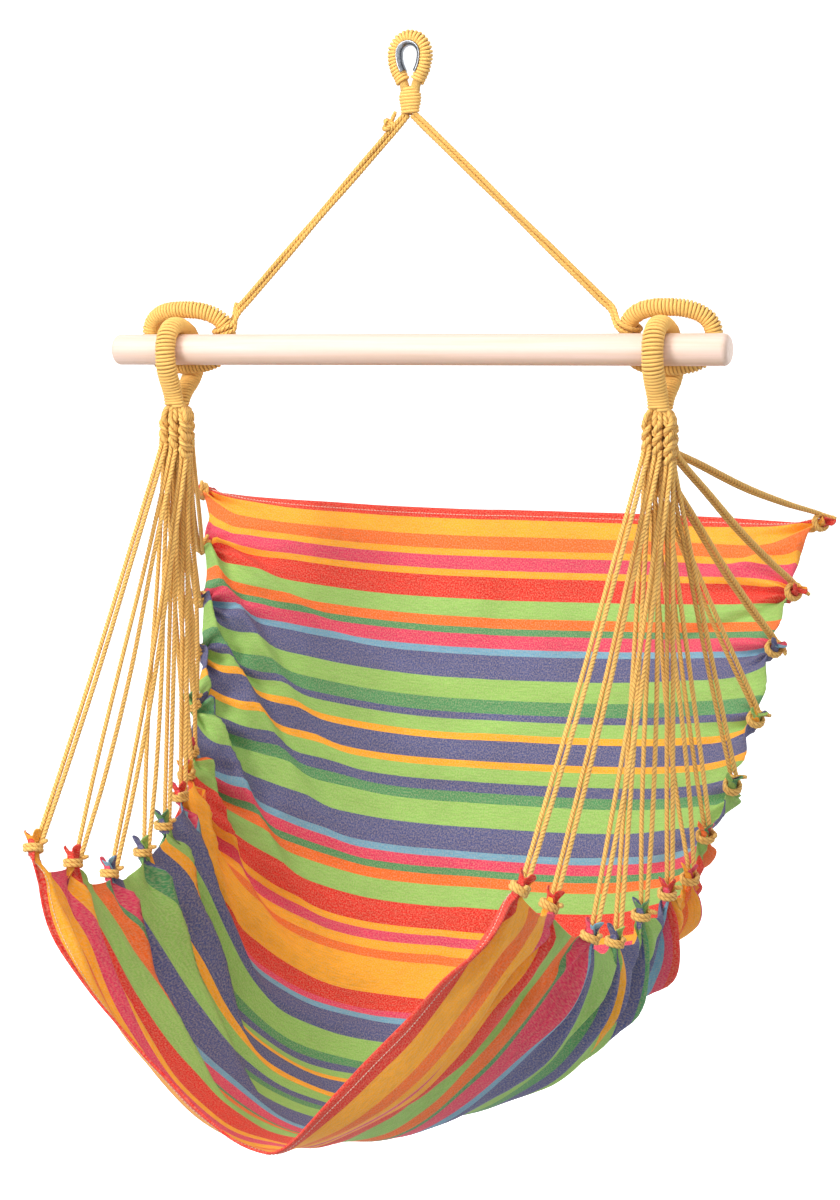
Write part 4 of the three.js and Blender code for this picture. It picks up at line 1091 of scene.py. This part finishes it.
class HAMMOCK_OT_loops(bpy.types.Operator):
    """Bind the two sling loops that go over the bar"""

    bl_idname = "hammock_chair.loops"
    bl_label = "Sling Loops"

    def execute(self, context):
        ropes = settings().ropes
        cover = CORE_INSET * ropes.binding_diameter
        tapered_share = 0.2
        wide = same(ropes.loop_width / 2)

        def thick(share):
            taper = smoothstep(min(share, 1 - share), 0, tapered_share)
            return mix(ropes.loop_end_thickness, ropes.loop_thickness, taper) / 2

        for name, side in SIDES.items():
            route = loop_route(side)
            core = bmesh.new()
            sweep_core(core, route, X, lambda s: thick(s) - cover, lambda s: wide(s) - cover, steps=90)
            make_piece(f"{name}_loop_core", core, cotton_rope(), "seat",
                       [f"{name}_sling_loop"])
            binding = bmesh.new()
            sweep_binding(binding, route, X, 0, 1, thick, wide)
            make_piece(f"{name}_loop_binding", binding, cotton_binding(), "seat",
                       [f"{name}_loop_serving"])
        return {"FINISHED"}


class HAMMOCK_OT_suspension(bpy.types.Operator):
    """Lay the two doubled suspension ropes, with their hitches and the top knot"""

    bl_idname = "hammock_chair.suspension"
    bl_label = "Suspension Ropes"

    def execute(self, context):
        for name, side in SIDES.items():
            mesh = bmesh.new()
            for which in (1, -1):
                self.leg(mesh, side, which)
            make_piece(f"{name}_rope", mesh, cotton_rope(), "hanger",
                       [f"{name}_suspension_rope"])
        self.knot()
        return {"FINISHED"}

    def leg(self, mesh, side, which):
        """One of a rope's two cords: down from the throat, then hitched round the ring."""
        radius = settings().ropes.cord_diameter / 2
        hitch_place = 0.05
        seat, along, out, beside = ring_route(side).axes(hitch_place, Y)
        # From just under the throat's foot straight down to just above the ring
        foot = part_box("throat_whipping")[0].z
        top = Vector((side * 0.0075, 0, foot - 0.0047))
        way = (top - seat).normalized()
        start = seat + way * 0.027
        # The two cords lie side by side and sway a little round each other
        closeness, sway, half_sways, steps = 0.88, 0.55, 3, 22
        shift = Y.cross(way).normalized() * which * radius * closeness
        path = [top + shift * 0.8 + way * 0.005]
        for step in range(1, steps):
            turn = Matrix.Rotation(sway * math.sin(half_sways * math.pi * step / steps), 3, way)
            path.append(top.lerp(start, step / steps) + turn @ shift)
        path.append(start + shift * 0.9)
        # The hitch: each cord goes most of the way round the ring, beside the other
        hitch_radius = settings().ropes.ring_diameter / 2 + radius + 0.001
        hitch_steps = 12
        begin = math.atan2(way.dot(beside), way.dot(out))
        lead_in = math.radians(35)
        arc = math.radians(280 if which == 1 else 250)
        first = 0 if which == 1 else 2.1 * radius * side
        inward = X * math.copysign(1, side * loop_centre() - seat.x) * 0.0007
        for step in range(hitch_steps + 1):
            angle = begin + side * (lead_in + arc * step / hitch_steps)
            lead = radius * (step / hitch_steps - 0.5) * 2 + first
            place = seat + (out * math.cos(angle) + beside * math.sin(angle)) * hitch_radius
            path.append(place + inward - along * side * lead)
        if which == 1:
            last = path[-1]
            tail_way = ((last - seat).normalized() * 0.35 - Z * side).normalized()
            path += [last + tail_way * 0.01, last + tail_way * 0.02]
        sweep_cord(mesh, smooth_path(path), radius * 1.08, -1, ends=(1, 0.8))

    def knot(self):
        """An overhand knot that stops the end of the left rope, with its short tail."""
        low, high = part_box("left_top_knot")
        onto_rope = Vector((0.0052, 0, -0.0044))
        centre = (low + high) / 2 + onto_rope
        radius = settings().ropes.cord_diameter / 2
        size = 1.2 * ((high.x - low.x) / 2 - radius)
        turned = Matrix.Rotation(math.radians(40), 3, "Y") @ Matrix.Rotation(math.radians(60), 3, "X")
        # A trefoil of reach 3, left open by its last few steps
        steps, open_steps, reach = 100, 3, 3
        path = []
        for i in range(steps - open_steps):
            t = 2 * math.pi * i / steps
            across, up = math.sin(t) + 2 * math.sin(2 * t), math.cos(t) - 2 * math.cos(2 * t)
            path.append(centre + turned @ Vector((across, up, -math.sin(3 * t))) * (size / reach))
        mesh = bmesh.new()
        sweep_cord(mesh, path, radius * 1.05, 1, ends=(0.8, 0.8))
        tail = [centre + Vector((0.003, 0, 0.004)), centre + Vector((0.006, 0.001, 0.011)),
                centre + Vector((0.0085, 0.001, 0.0165))]
        sweep_cord(mesh, smooth_path(tail), radius * 0.9, 1, ends=(1, 0.75))
        make_piece("top_knot", mesh, cotton_rope(), "hanger", ["left_top_knot"])


class HAMMOCK_OT_cords(bpy.types.Operator):
    """Run the sling cords from the clews to the ears, lash each ear and twist the clews"""

    bl_idname = "hammock_chair.cords"
    bl_label = "Sling Cords and Clews"

    def execute(self, context):
        for name, side in SIDES.items():
            plait = bmesh.new()
            for ear in all_ears(side):
                cord = bmesh.new()
                for which in (-1, 1):
                    slot = self.slot(ear, which)
                    self.leg(cord, ear, which, slot)
                    self.strand(plait, ear, which, slot)
                self.lashing(cord, ear)
                number = f"{ear.index + 1:02d}"
                make_piece(f"{name}_sling_cord_{number}", cord, cotton_rope(), "seat",
                           [f"{name}_cord_{number}"])
            make_piece(f"{name}_clew_plait", plait, cotton_rope(), "seat", [f"{name}_clew"])
        return {"FINISHED"}

    def slot(self, ear, which):
        """Where a leg lies in the clew at the height where it leaves."""
        radius = settings().ropes.cord_diameter / 2
        inside = (CLEW_SIZE.y / 2 - radius) / (CLEW_SIZE.y / 2)
        return Vector((ear.exit.x + which * cord_pitch() / 2, ear.exit.y * inside, ear.exit.z))

    def leg(self, mesh, ear, which, slot):
        """A leg hangs from its slot in the clew to the lashing on the ear."""
        ropes, sling = settings().ropes, settings().sling
        radius = ropes.cord_diameter / 2
        seat = ear.centre + ear.leg_side * (sling.ear_neck_radius + radius * 1.1)
        end = seat + ear.beside * which * cord_pitch() / 2
        way = (end - slot).normalized()
        # One leg hangs slacker than the other, and they stand a little apart, each pair in its own way
        uneven, least_gap, more_gap, seed = 0.35, 0.0004, 0.009, side_seed(ear.side)
        slack = 1 + uneven * which * noise.noise(Vector((ear.index * 1.3, seed, 7)))
        droop = (-Z - way * way.dot(-Z)) * ((end - slot).length * CORD_SAG_SHARES[ear.index] * slack)
        apart = least_gap + more_gap * max(noise.noise(Vector((ear.index * 2.1, seed, 1))), 0)
        sway = ear.beside * (which * apart)
        hold = 0.004
        path = [slot + Z * hold, slot - Z * hold + way * hold]
        # On the way down: the share of the way, of the droop and of the sway
        for share, droop_share, sway_share in ((0.28, 0.72, 0.2), (0.55, 1, 1), (0.8, 0.6, 0.9)):
            path.append(slot.lerp(end, share) + droop * droop_share + sway * sway_share)
        path += [end - way * 0.006, end - ear.axis * hold]
        sweep_cord(mesh, smooth_path(path, 14), radius, which)

    def strand(self, mesh, ear, which, slot):
        """The leg's upper end: twisted with its twin in the clew, then bent over the loop's neck."""
        radius = settings().ropes.cord_diameter / 2
        across = ear.side * loop_centre()
        top = CLEW_HIGH.z
        middle = Vector((ear.exit.x, slot.y, 0))
        twist_length, per_turn, overlap, bend_height = 0.024, 6, 0.001, 0.014
        rise = top - bend_height - slot.z
        steps = max(round(rise / twist_length * per_turn), 2)
        path = []
        for i in range(steps + 1):
            turn = ear.side * 2 * math.pi * i / per_turn
            twist = Vector((math.cos(turn), math.sin(turn), 0)) * which * cord_pitch() / 2
            path.append(middle + twist + Z * (slot.z - overlap + rise * i / steps))
        # Over the neck, the outer strands stay lower than the inner ones
        spread = max(abs(slot.x - across) / (CLEW_SIZE.x / 2), abs(slot.y) / (CLEW_SIZE.y / 2))
        for share, height in ((0.16, top - 0.005), (0.52, top + 0.003 * (1 - 0.5 * spread))):
            path.append(Vector((mix(path[steps].x, across, share), mix(path[steps].y, 0, share), height)))
        # Packed in the clew the cords swell, and their lay opens
        swollen, open_lay = 1.18, 0.021
        sweep_cord(mesh, smooth_path(path, 6), radius * swollen, which, lay=open_lay)

    def lashing(self, mesh, ear):
        """Two turns of the cord round the ear's neck, with a short cut tail."""
        ropes, sling = settings().ropes, settings().sling
        radius = ropes.cord_diameter / 2
        reach = sling.ear_neck_radius + radius * 0.9
        # Each lashing has its own tilt and end
        seed = Vector((ear.index * 3.7, side_seed(ear.side), 0))
        tilt = 0.35 * noise.noise(seed)
        turns = 2.2 + 0.5 * noise.noise(seed * 1.7)
        begin, half_height, steps = math.radians(-20), 0.75, 30
        path = []
        for i in range(steps + 1):
            angle = begin + turns * 2 * math.pi * i / steps
            climb = mix(-half_height, half_height, i / steps) * ropes.cord_diameter
            height = climb + tilt * reach * math.cos(angle)
            path.append(ear.centre + ear.axis * height
                        + (ear.leg_side * math.cos(angle) + ear.beside * math.sin(angle)) * reach)
        away = ear.beside * math.copysign(1, tilt)
        last = path[-1]
        tail = (last - path[-2]).normalized()
        lean = (tail + away * 0.4 + Vector((0, -0.3, 0.1))).normalized()
        path += [last + tail * 0.006, last + tail * 0.006 + lean * 0.009]
        sweep_cord(mesh, smooth_path(path, 4), radius * 0.98, 1, ends=(0.9, 0.75))


def side_seed(side):
    """A fixed number for each side, so that the two sides differ in the same way every run."""
    return 11.3 if side < 0 else 47.9


class HAMMOCK_OT_cloth(bpy.types.Operator):
    """Hang the striped cloth, with its ears, hems and stitching"""

    bl_idname = "hammock_chair.cloth"
    bl_label = "Striped Cloth"

    # The grid, with the rows from one ear to the next
    ROWS_PER_CELL = 36
    COLUMNS = 100
    # How far from its middle an ear gathers the cloth, as a share of the way to the next ear
    EAR_SHARE = 0.325
    # A hem is doubled over its first rows, and single cloth is this share of its thickness
    HEM_ROWS = 3
    SINGLE_SHARE = 0.45

    def execute(self, context):
        sling = settings().sling
        self.cells = sling.ears - 1
        self.ears = {side: all_ears(side) for side in SIDES.values()}
        mesh = bmesh.new()
        uv = mesh.loops.layers.uv.new("UVMap")
        rows = self.cells * self.ROWS_PER_CELL
        bmesh.ops.create_grid(mesh, x_segments=self.COLUMNS, y_segments=rows, size=1)
        places = [self.spread(vert.co) for vert in mesh.verts]
        for vert, (across, share) in zip(mesh.verts, places):
            vert.co = self.place(share, across)
        dyed = self.dyed_places([vert.co for vert in mesh.verts], [across for across, _ in places])
        for face in mesh.faces:
            for loop in face.loops:
                index = loop.vert.index
                loop[uv].uv = (places[index][0] * sling.flat_width / 2, dyed[index])
        bmesh.ops.recalc_face_normals(mesh, faces=mesh.faces)
        cloth = make_piece("striped_cloth", mesh, shared_material("woven_striped_cotton", striped_cotton),
                           "seat", ["sling_cloth"])
        self.finish(cloth)
        return {"FINISHED"}

    def spread(self, corner):
        """A grid corner's place on the flat cloth: closer together towards the edges."""
        crowding = 1.35
        width = 1 - (1 - abs(corner.x)) ** crowding
        return math.copysign(width, corner.x), (corner.y + 1) / 2

    def dyed_places(self, points, acrosses):
        """How far from the front hem each point was dyed: a fold takes up its own length of cloth."""
        length = settings().sling.flat_length
        columns = self.COLUMNS + 1
        # Rows each way over which lengths are compared, and columns over which the stripes are evened
        reach, blend = 30, 4
        most_gathered, most_rolled, roll_depth = 0.0105, 0.018, 0.06
        dyed = [0.0] * len(points)
        for column in range(columns):
            line = points[column::columns]
            marks = [0, *accumulate((b - a).length for a, b in zip(line, line[1:]))]
            even = [0.0]
            for row in range(len(line) - 1):
                low, high = max(row - reach, 0), min(row + 1 + reach, len(line) - 1)
                nearby = (marks[high] - marks[low]) / (high - low)
                even.append(even[-1] + (marks[row + 1] - marks[row]) / nearby)
            across = acrosses[column]
            for row, mark in enumerate(even):
                share = mark / even[-1]
                # The second ear is gathered from the middle of the red stripe
                gathered = most_gathered * math.sin(math.pi * min(share * self.cells / 2, 1))
                # The front hem rolls under on the left
                rolled = most_rolled * smoothstep(-across, 0.1, 0.6) * math.exp(-share * length / roll_depth)
                dyed[row * columns + column] = share * length + gathered + rolled
        # Neighbouring columns are evened out, so that no stripe has a kink
        smooth = []
        for index in range(len(dyed)):
            column = index % columns
            first, last = index - min(column, blend), index + min(columns - 1 - column, blend)
            smooth.append(sum(dyed[first:last + 1]) / (last + 1 - first))
        return smooth

    def place(self, share, across):
        """Where a point of the flat cloth hangs."""
        sling = settings().sling
        side = -1 if across < 0 else 1
        flat = abs(across)
        neck_share = 1 - sling.ear_flat / (sling.flat_width / 2)
        cell = share * self.cells
        index = min(max(round(cell), 0), self.cells)
        off = cell - index
        in_ear = abs(off) < self.EAR_SHARE
        width = min(flat / neck_share, 1) if in_ear else self.scalloped(flat, neck_share, abs(off))
        short = (1 - width) * sling.half_width
        # Near an ear the rows are drawn together on its lashing
        drawn, drawn_reach = 0.94, 0.034
        gather = math.exp(-(short / drawn_reach) ** 1.3) * (1 - smoothstep(abs(off), 0.3, 0.5))
        row = (index + off * (1 - drawn * gather)) / self.cells
        point = cloth_point(row, side * width)
        flat_place = Vector((across * sling.flat_width / 2, share * sling.flat_length, side_seed(side)))
        rise, lean = self.long_folds(flat_place)
        rise += self.pleats(index, side, off, short, gather) + self.wrinkles(flat_place, short)
        rise -= self.hem_curl(flat_place)
        point += cloth_normal(row, side * width) * rise
        step = 0.01
        up = cloth_point(row + step, side * width) - cloth_point(row, side * width)
        point += up.normalized() * lean
        if in_ear:
            past = max(flat - neck_share, 0) / (1 - neck_share)
            return self.gathered(point, self.ears[side][index], off / self.EAR_SHARE, past, short)
        return point

    def scalloped(self, flat, neck_share, apart):
        """The width at which the edge hangs between two ears, drawn in as a scallop."""
        sling = settings().sling
        ear_edge, way_between, fullness = 0.3, 0.2, 0.8
        rounding = math.sin(math.pi / 2 * (apart - ear_edge) / way_between) ** fullness
        drawn = sling.scallop / sling.half_width * rounding
        # Beyond the bend the cloth closes up towards its drawn edge
        bend, crowding = 0.8, 1.8
        if flat <= bend:
            return flat / neck_share
        rest = (flat - bend) / (1 - bend)
        return mix(bend / neck_share, 1 - drawn, 1 - (1 - rest) ** crowding)

    def gathered(self, point, ear, turned, past, short):
        """In the ear the pleats run up through the lashing and open round the legs of the cord.

        Turned runs from -1 to 1 across the ear's cloth, past from 0 at the lashing to 1 at the tip.
        """
        sling = settings().sling
        if ear.index in (0, self.cells):
            # The ears in the corners have cloth on one side only
            turned = 2 * turned - math.copysign(1, turned)
        # Two peaks, with the cloth between them lower
        low_share = 0.6
        peaks = math.sin(math.pi * min(abs(turned) * 0.8, 1)) ** 2
        height = past * sling.ear_tip * (low_share + (1 - low_share) * peaks) - short
        # In the lashing: packed in a zigzag, and wider again below it
        neck_half, zigzag, below = 0.0052, 0.0045, 0.006
        half = neck_half + 0.9 * max(-height - below, 0)
        packed = ear.row_way * turned * half + ear.beside * zigzag * math.cos(2.15 * math.pi * turned)
        # At the tip: opened round the cord's legs, with a slightly wavy edge
        opening, wave = math.radians(125), 0.0015
        angle = turned * opening
        opened = (ear.beside * math.sin(angle) - ear.leg_side * math.cos(angle)) * sling.ear_tip_half_width
        opened += ear.beside * wave * math.sin(9 * turned + ear.index)
        across = packed.lerp(opened, smoothstep(height, 0.004, sling.ear_tip))
        return point.lerp(ear.centre + ear.axis * height + across, smoothstep(height, -0.026, -0.007))

    def pleats(self, index, side, off, short, gather):
        """Gathers that spread from an ear: narrow at the lashing, then wider and softer."""
        vary = noise.noise(Vector((index * 1.9, side_seed(side), 0)))
        edge = 1 - smoothstep(abs(off), 0.34, 0.5)
        # Narrow pleats, four from one ear to the next, drawn up on the cord in the edge
        pleat = 0.25
        drawn_up = 0.0075 * gather ** 0.45 + 0.0036 * math.exp(-(max(short - 0.012, 0) / 0.03) ** 1.5)
        turn = 2 * math.pi * off / pleat + 1.5 * vary * edge
        narrow = drawn_up * (0.85 + 0.5 * vary) * math.cos(turn)
        # Wider ones are strongest at 70 mm from the ear
        middle = 0.01 * math.exp(-((short - 0.07) / 0.055) ** 2)
        middle *= math.cos(2 * math.pi * (off / (0.42 + 0.06 * vary) + 0.15 * vary)) * edge
        # Behind the seat the cloth hangs almost flat from its ears
        firm = mix(1, 0.45, smoothstep(index, 6, 9))
        reach = 0.17 * (1 + 0.6 * vary)
        wide = (0.013 + 0.012 * vary) * math.exp(-short / reach) * (1 - math.exp(-(short / 0.05) ** 2))
        return narrow + firm * (middle + wide * math.cos(2 * math.pi * off))

    def hem_curl(self, place):
        """The front and top hems are held taut, so the cloth curls in along them."""
        sling = settings().sling
        front, top = place.y, sling.flat_length - place.y
        side_share = smoothstep(abs(place.x) / (sling.flat_width / 2), 0, 0.35)
        front_curl = math.exp(-front / 0.02) - 1.1 * math.exp(-((front - 0.055) / 0.032) ** 2)
        return sling.hem_curl * side_share * (front_curl + 0.3 * math.exp(-top / 0.016))

    def long_folds(self, place):
        """Folds that run from the ears across the seat and the back: how far they rise and lean."""
        sling = settings().sling
        rise = lean = 0.0
        for start_share, start_across, end_share, end_across, height, width, lean_share in LONG_FOLDS:
            start = Vector((start_across * sling.flat_width / 2, start_share * sling.flat_length))
            end = Vector((end_across * sling.flat_width / 2, end_share * sling.flat_length))
            run = end - start
            along = (place.xy - start).dot(run) / run.length_squared
            if not -0.15 < along < 1.15:
                continue
            bend = 0.02 * noise.noise(Vector((along * 1.7, start_share * 9, start_across)))
            above = bend - (place.xy - start).cross(run) / run.length * math.copysign(1, run.x)
            # The side towards the top hem falls away steeply, the other side softly
            slope = width * (0.6 if above > 0 else 1.3) * (0.65 + 0.7 * max(along, 0))
            taper = smoothstep(along, -0.15, 0.12) * (1 - smoothstep(along, 0.4, 1.15))
            crest = height * taper * math.exp(-(abs(above) / slope) ** 1.6)
            rise += crest
            lean += abs(crest) * lean_share
        return rise, lean

    def wrinkles(self, place, short):
        """Small creases along the stripes, stronger near the ears, and slack between them."""
        near = math.exp(-short / 0.12)
        fine = noise.noise(Vector((place.x / 0.12, place.y / 0.022, place.z)))
        broad = noise.noise(Vector((place.x / 0.2, place.y / 0.09, place.z + 5)))
        crossed = noise.noise(Vector((place.x / 0.07 + place.y / 0.05, place.y / 0.12, 3)))
        return 0.003 * fine * (0.4 + near) + 0.009 * broad * (1 - 0.5 * near) + 0.003 * crossed

    def finish(self, cloth):
        """Give the cloth its thickness, doubled along the hems, and sew the hems."""
        hems = cloth.vertex_groups.new(name="thick")
        rows = self.cells * self.ROWS_PER_CELL + 1
        columns = self.COLUMNS + 1
        for index in range(len(cloth.data.vertices)):
            row = index // columns
            hemmed = row < self.HEM_ROWS or row >= rows - self.HEM_ROWS
            hems.add([index], 1.0 if hemmed else self.SINGLE_SHARE, "REPLACE")
        self.stitches(cloth, rows, columns)
        thicken = cloth.modifiers.new("thickness", "SOLIDIFY")
        thicken.thickness = settings().sling.thickness / self.SINGLE_SHARE
        thicken.offset = 0
        thicken.vertex_group = "thick"
        cloth.data.update()

    def stitches(self, cloth, rows, columns):
        """Sew a running stitch along each hem, just inside its fold, as seen from both sides."""
        sling = settings().sling
        mesh = bmesh.new()
        verts = cloth.data.vertices
        per_stitch, from_ears = 4, 8
        thread_radius, thread_sides = 0.00045, 5
        for row in (self.HEM_ROWS, rows - 1 - self.HEM_ROWS):
            inner = range(from_ears, columns - from_ears)
            line = Route(smooth_path([verts[row * columns + c].co.copy() for c in inner], 2))
            normals = [verts[row * columns + c].normal.copy() for c in inner]
            count = int(line.length / sling.stitch)
            for side in (-1, 1):
                path = []
                for i in range(count * per_stitch + 1):
                    share = i / (count * per_stitch)
                    normal = normals[min(int(share * len(normals)), len(normals) - 1)]
                    rise = sling.thickness * (0.55 + 0.75 * math.sin(2 * math.pi * i / per_stitch))
                    path.append(line.at(share) + normal * side * rise)
                draw_run(mesh, path, round_section(thread_radius, thread_sides))
        make_piece("hem_stitching", mesh, shared_material("cotton_sewing_thread", cotton_thread),
                   "seat")


class HAMMOCK_OT_studio(bpy.types.Operator):
    """Set up the paper floor and backdrop, the soft lights and the camera"""

    bl_idname = "hammock_chair.studio"
    bl_label = "Studio"

    def execute(self, context):
        self.backdrop()
        self.lights()
        self.camera()
        return {"FINISHED"}

    def backdrop(self):
        """A paper sweep: the floor below the chair, curving up into a round wall on all sides."""
        room_below = 0.45
        floor_z = CAD_BOX[0][2] - room_below
        radius, height, bend = 10.0, 14.0, 4.0
        mesh = bmesh.new()
        line = [Vector((0, 0, floor_z)), Vector((0, radius, floor_z)), Vector((0, radius, floor_z + height))]
        verts = [mesh.verts.new(corner) for corner in line]
        for pair in zip(verts, verts[1:]):
            mesh.edges.new(pair)
        bmesh.ops.bevel(
            mesh, geom=[verts[1]], offset=bend, segments=24, profile=0.5, affect="VERTICES", material=-1)
        bmesh.ops.spin(
            mesh, geom=mesh.verts[:] + mesh.edges[:], cent=(0, 0, 0), axis=Z, angle=2 * math.pi, steps=96,
            use_merge=True)
        bmesh.ops.remove_doubles(mesh, verts=mesh.verts, dist=1e-4)
        # The paper faces the chair inside it
        bmesh.ops.recalc_face_normals(mesh, faces=mesh.faces)
        bmesh.ops.reverse_faces(mesh, faces=mesh.faces)
        data = bpy.data.meshes.new("paper_sweep")
        mesh.to_mesh(data)
        mesh.free()
        data.shade_smooth()
        data.materials.append(shared_material("studio_paper", studio_paper))
        sweep_paper = bpy.data.objects.new("paper_sweep", data)
        bpy.context.scene.collection.objects.link(sweep_paper)
        # The paper is seen, but its glow doesn't wash out the shade under the seat
        sweep_paper.visible_diffuse = False

    def lights(self):
        """A large key from the upper left, a fill, a top and a back light, and an even white surround."""
        middle = Vector((0, 0, BAR_MIDDLE.z - 0.4))
        for name, place, size, power in (
            ("key", (-1.9, -3.8, 1.5), 1.6, 138),
            ("fill", (3.3, -2.9, 0.2), 3.0, 30),
            ("top", (0.0, -1.4, 2.7), 2.2, 52),
            ("back", (0.8, 3.8, 0.9), 3.0, 55),
        ):
            data = bpy.data.lights.new(name, "AREA")
            data.size = size
            data.energy = power
            light = bpy.data.objects.new(name, data)
            light.location = middle + Vector(place)
            light.rotation_euler = (-Vector(place)).to_track_quat("-Z", "Y").to_euler()
            bpy.context.scene.collection.objects.link(light)
        world = bpy.data.worlds.new("studio_air")
        world.use_nodes = True
        background = world.node_tree.nodes["Background"]
        background.inputs["Color"].default_value = (1, 1, 1, 1)
        background.inputs["Strength"].default_value = 0.47
        bpy.context.scene.world = world
        # Plain colours, as a catalogue picture has them
        bpy.context.scene.view_settings.view_transform = "Standard"

    def camera(self):
        """The photograph's view: from the front, to the right of the middle and a little down."""
        around, down = math.radians(23), math.radians(4.8)
        distance = 3.6
        image_width, image_height = 840, 1200
        focal_pixels, bar_pixel = 2982, 410.3
        sensor = 36.0
        turn = math.atan((bar_pixel - image_width / 2) / focal_pixels)
        place = Vector((distance * math.sin(around), -distance * math.cos(around), BAR_MIDDLE.z))
        level = Matrix.Rotation(turn, 3, "Z") @ Vector((-math.sin(around), math.cos(around), 0))
        forward = level * math.cos(down) - Z * math.sin(down)
        upward = Z * math.cos(down) + level * math.sin(down)
        right = forward.cross(upward)
        data = bpy.data.cameras.new("camera")
        data.sensor_fit = "VERTICAL"
        data.sensor_height = sensor
        data.lens = focal_pixels * sensor / image_height
        camera = bpy.data.objects.new("camera", data)
        camera.matrix_world = Matrix.Translation(place) @ Matrix(
            (right, upward, -forward)).transposed().to_4x4()
        bpy.context.scene.collection.objects.link(camera)
        bpy.context.scene.camera = camera


OPERATORS = (
    HAMMOCK_OT_studio, HAMMOCK_OT_cords, HAMMOCK_OT_cloth, HAMMOCK_OT_suspension, HAMMOCK_OT_eye,
    HAMMOCK_OT_throat, HAMMOCK_OT_rings, HAMMOCK_OT_loops, HAMMOCK_OT_bar,
)


class HAMMOCK_PT_panel(bpy.types.Panel):
    """Lists the chair's operators, sizes and colours"""

    bl_idname = "HAMMOCK_PT_panel"
    bl_label = "Hammock Chair"
    bl_space_type = "VIEW_3D"
    bl_region_type = "UI"
    bl_category = "Hammock Chair"

    def draw(self, context):
        chair = context.scene.hammock_chair
        for operator in OPERATORS:
            self.layout.operator(operator.bl_idname)
        for group in (chair.ropes, chair.sling, chair.colours):
            box = self.layout.box()
            for name in group.__annotations__:
                box.prop(group, name)


CLASSES = (RopeSizes, SlingSizes, ChairColours, ChairSettings, *OPERATORS, HAMMOCK_PT_panel)


def register():
    for part in CLASSES:
        bpy.utils.register_class(part)
    bpy.types.Scene.hammock_chair = PointerProperty(type=ChairSettings)


def unregister():
    del bpy.types.Scene.hammock_chair
    for part in reversed(CLASSES):
        bpy.utils.unregister_class(part)


def main():
    register()
    for operator in OPERATORS:
        group, name = operator.bl_idname.split(".")
        getattr(getattr(bpy.ops, group), name)()


if __name__ == "__main__":
    main()
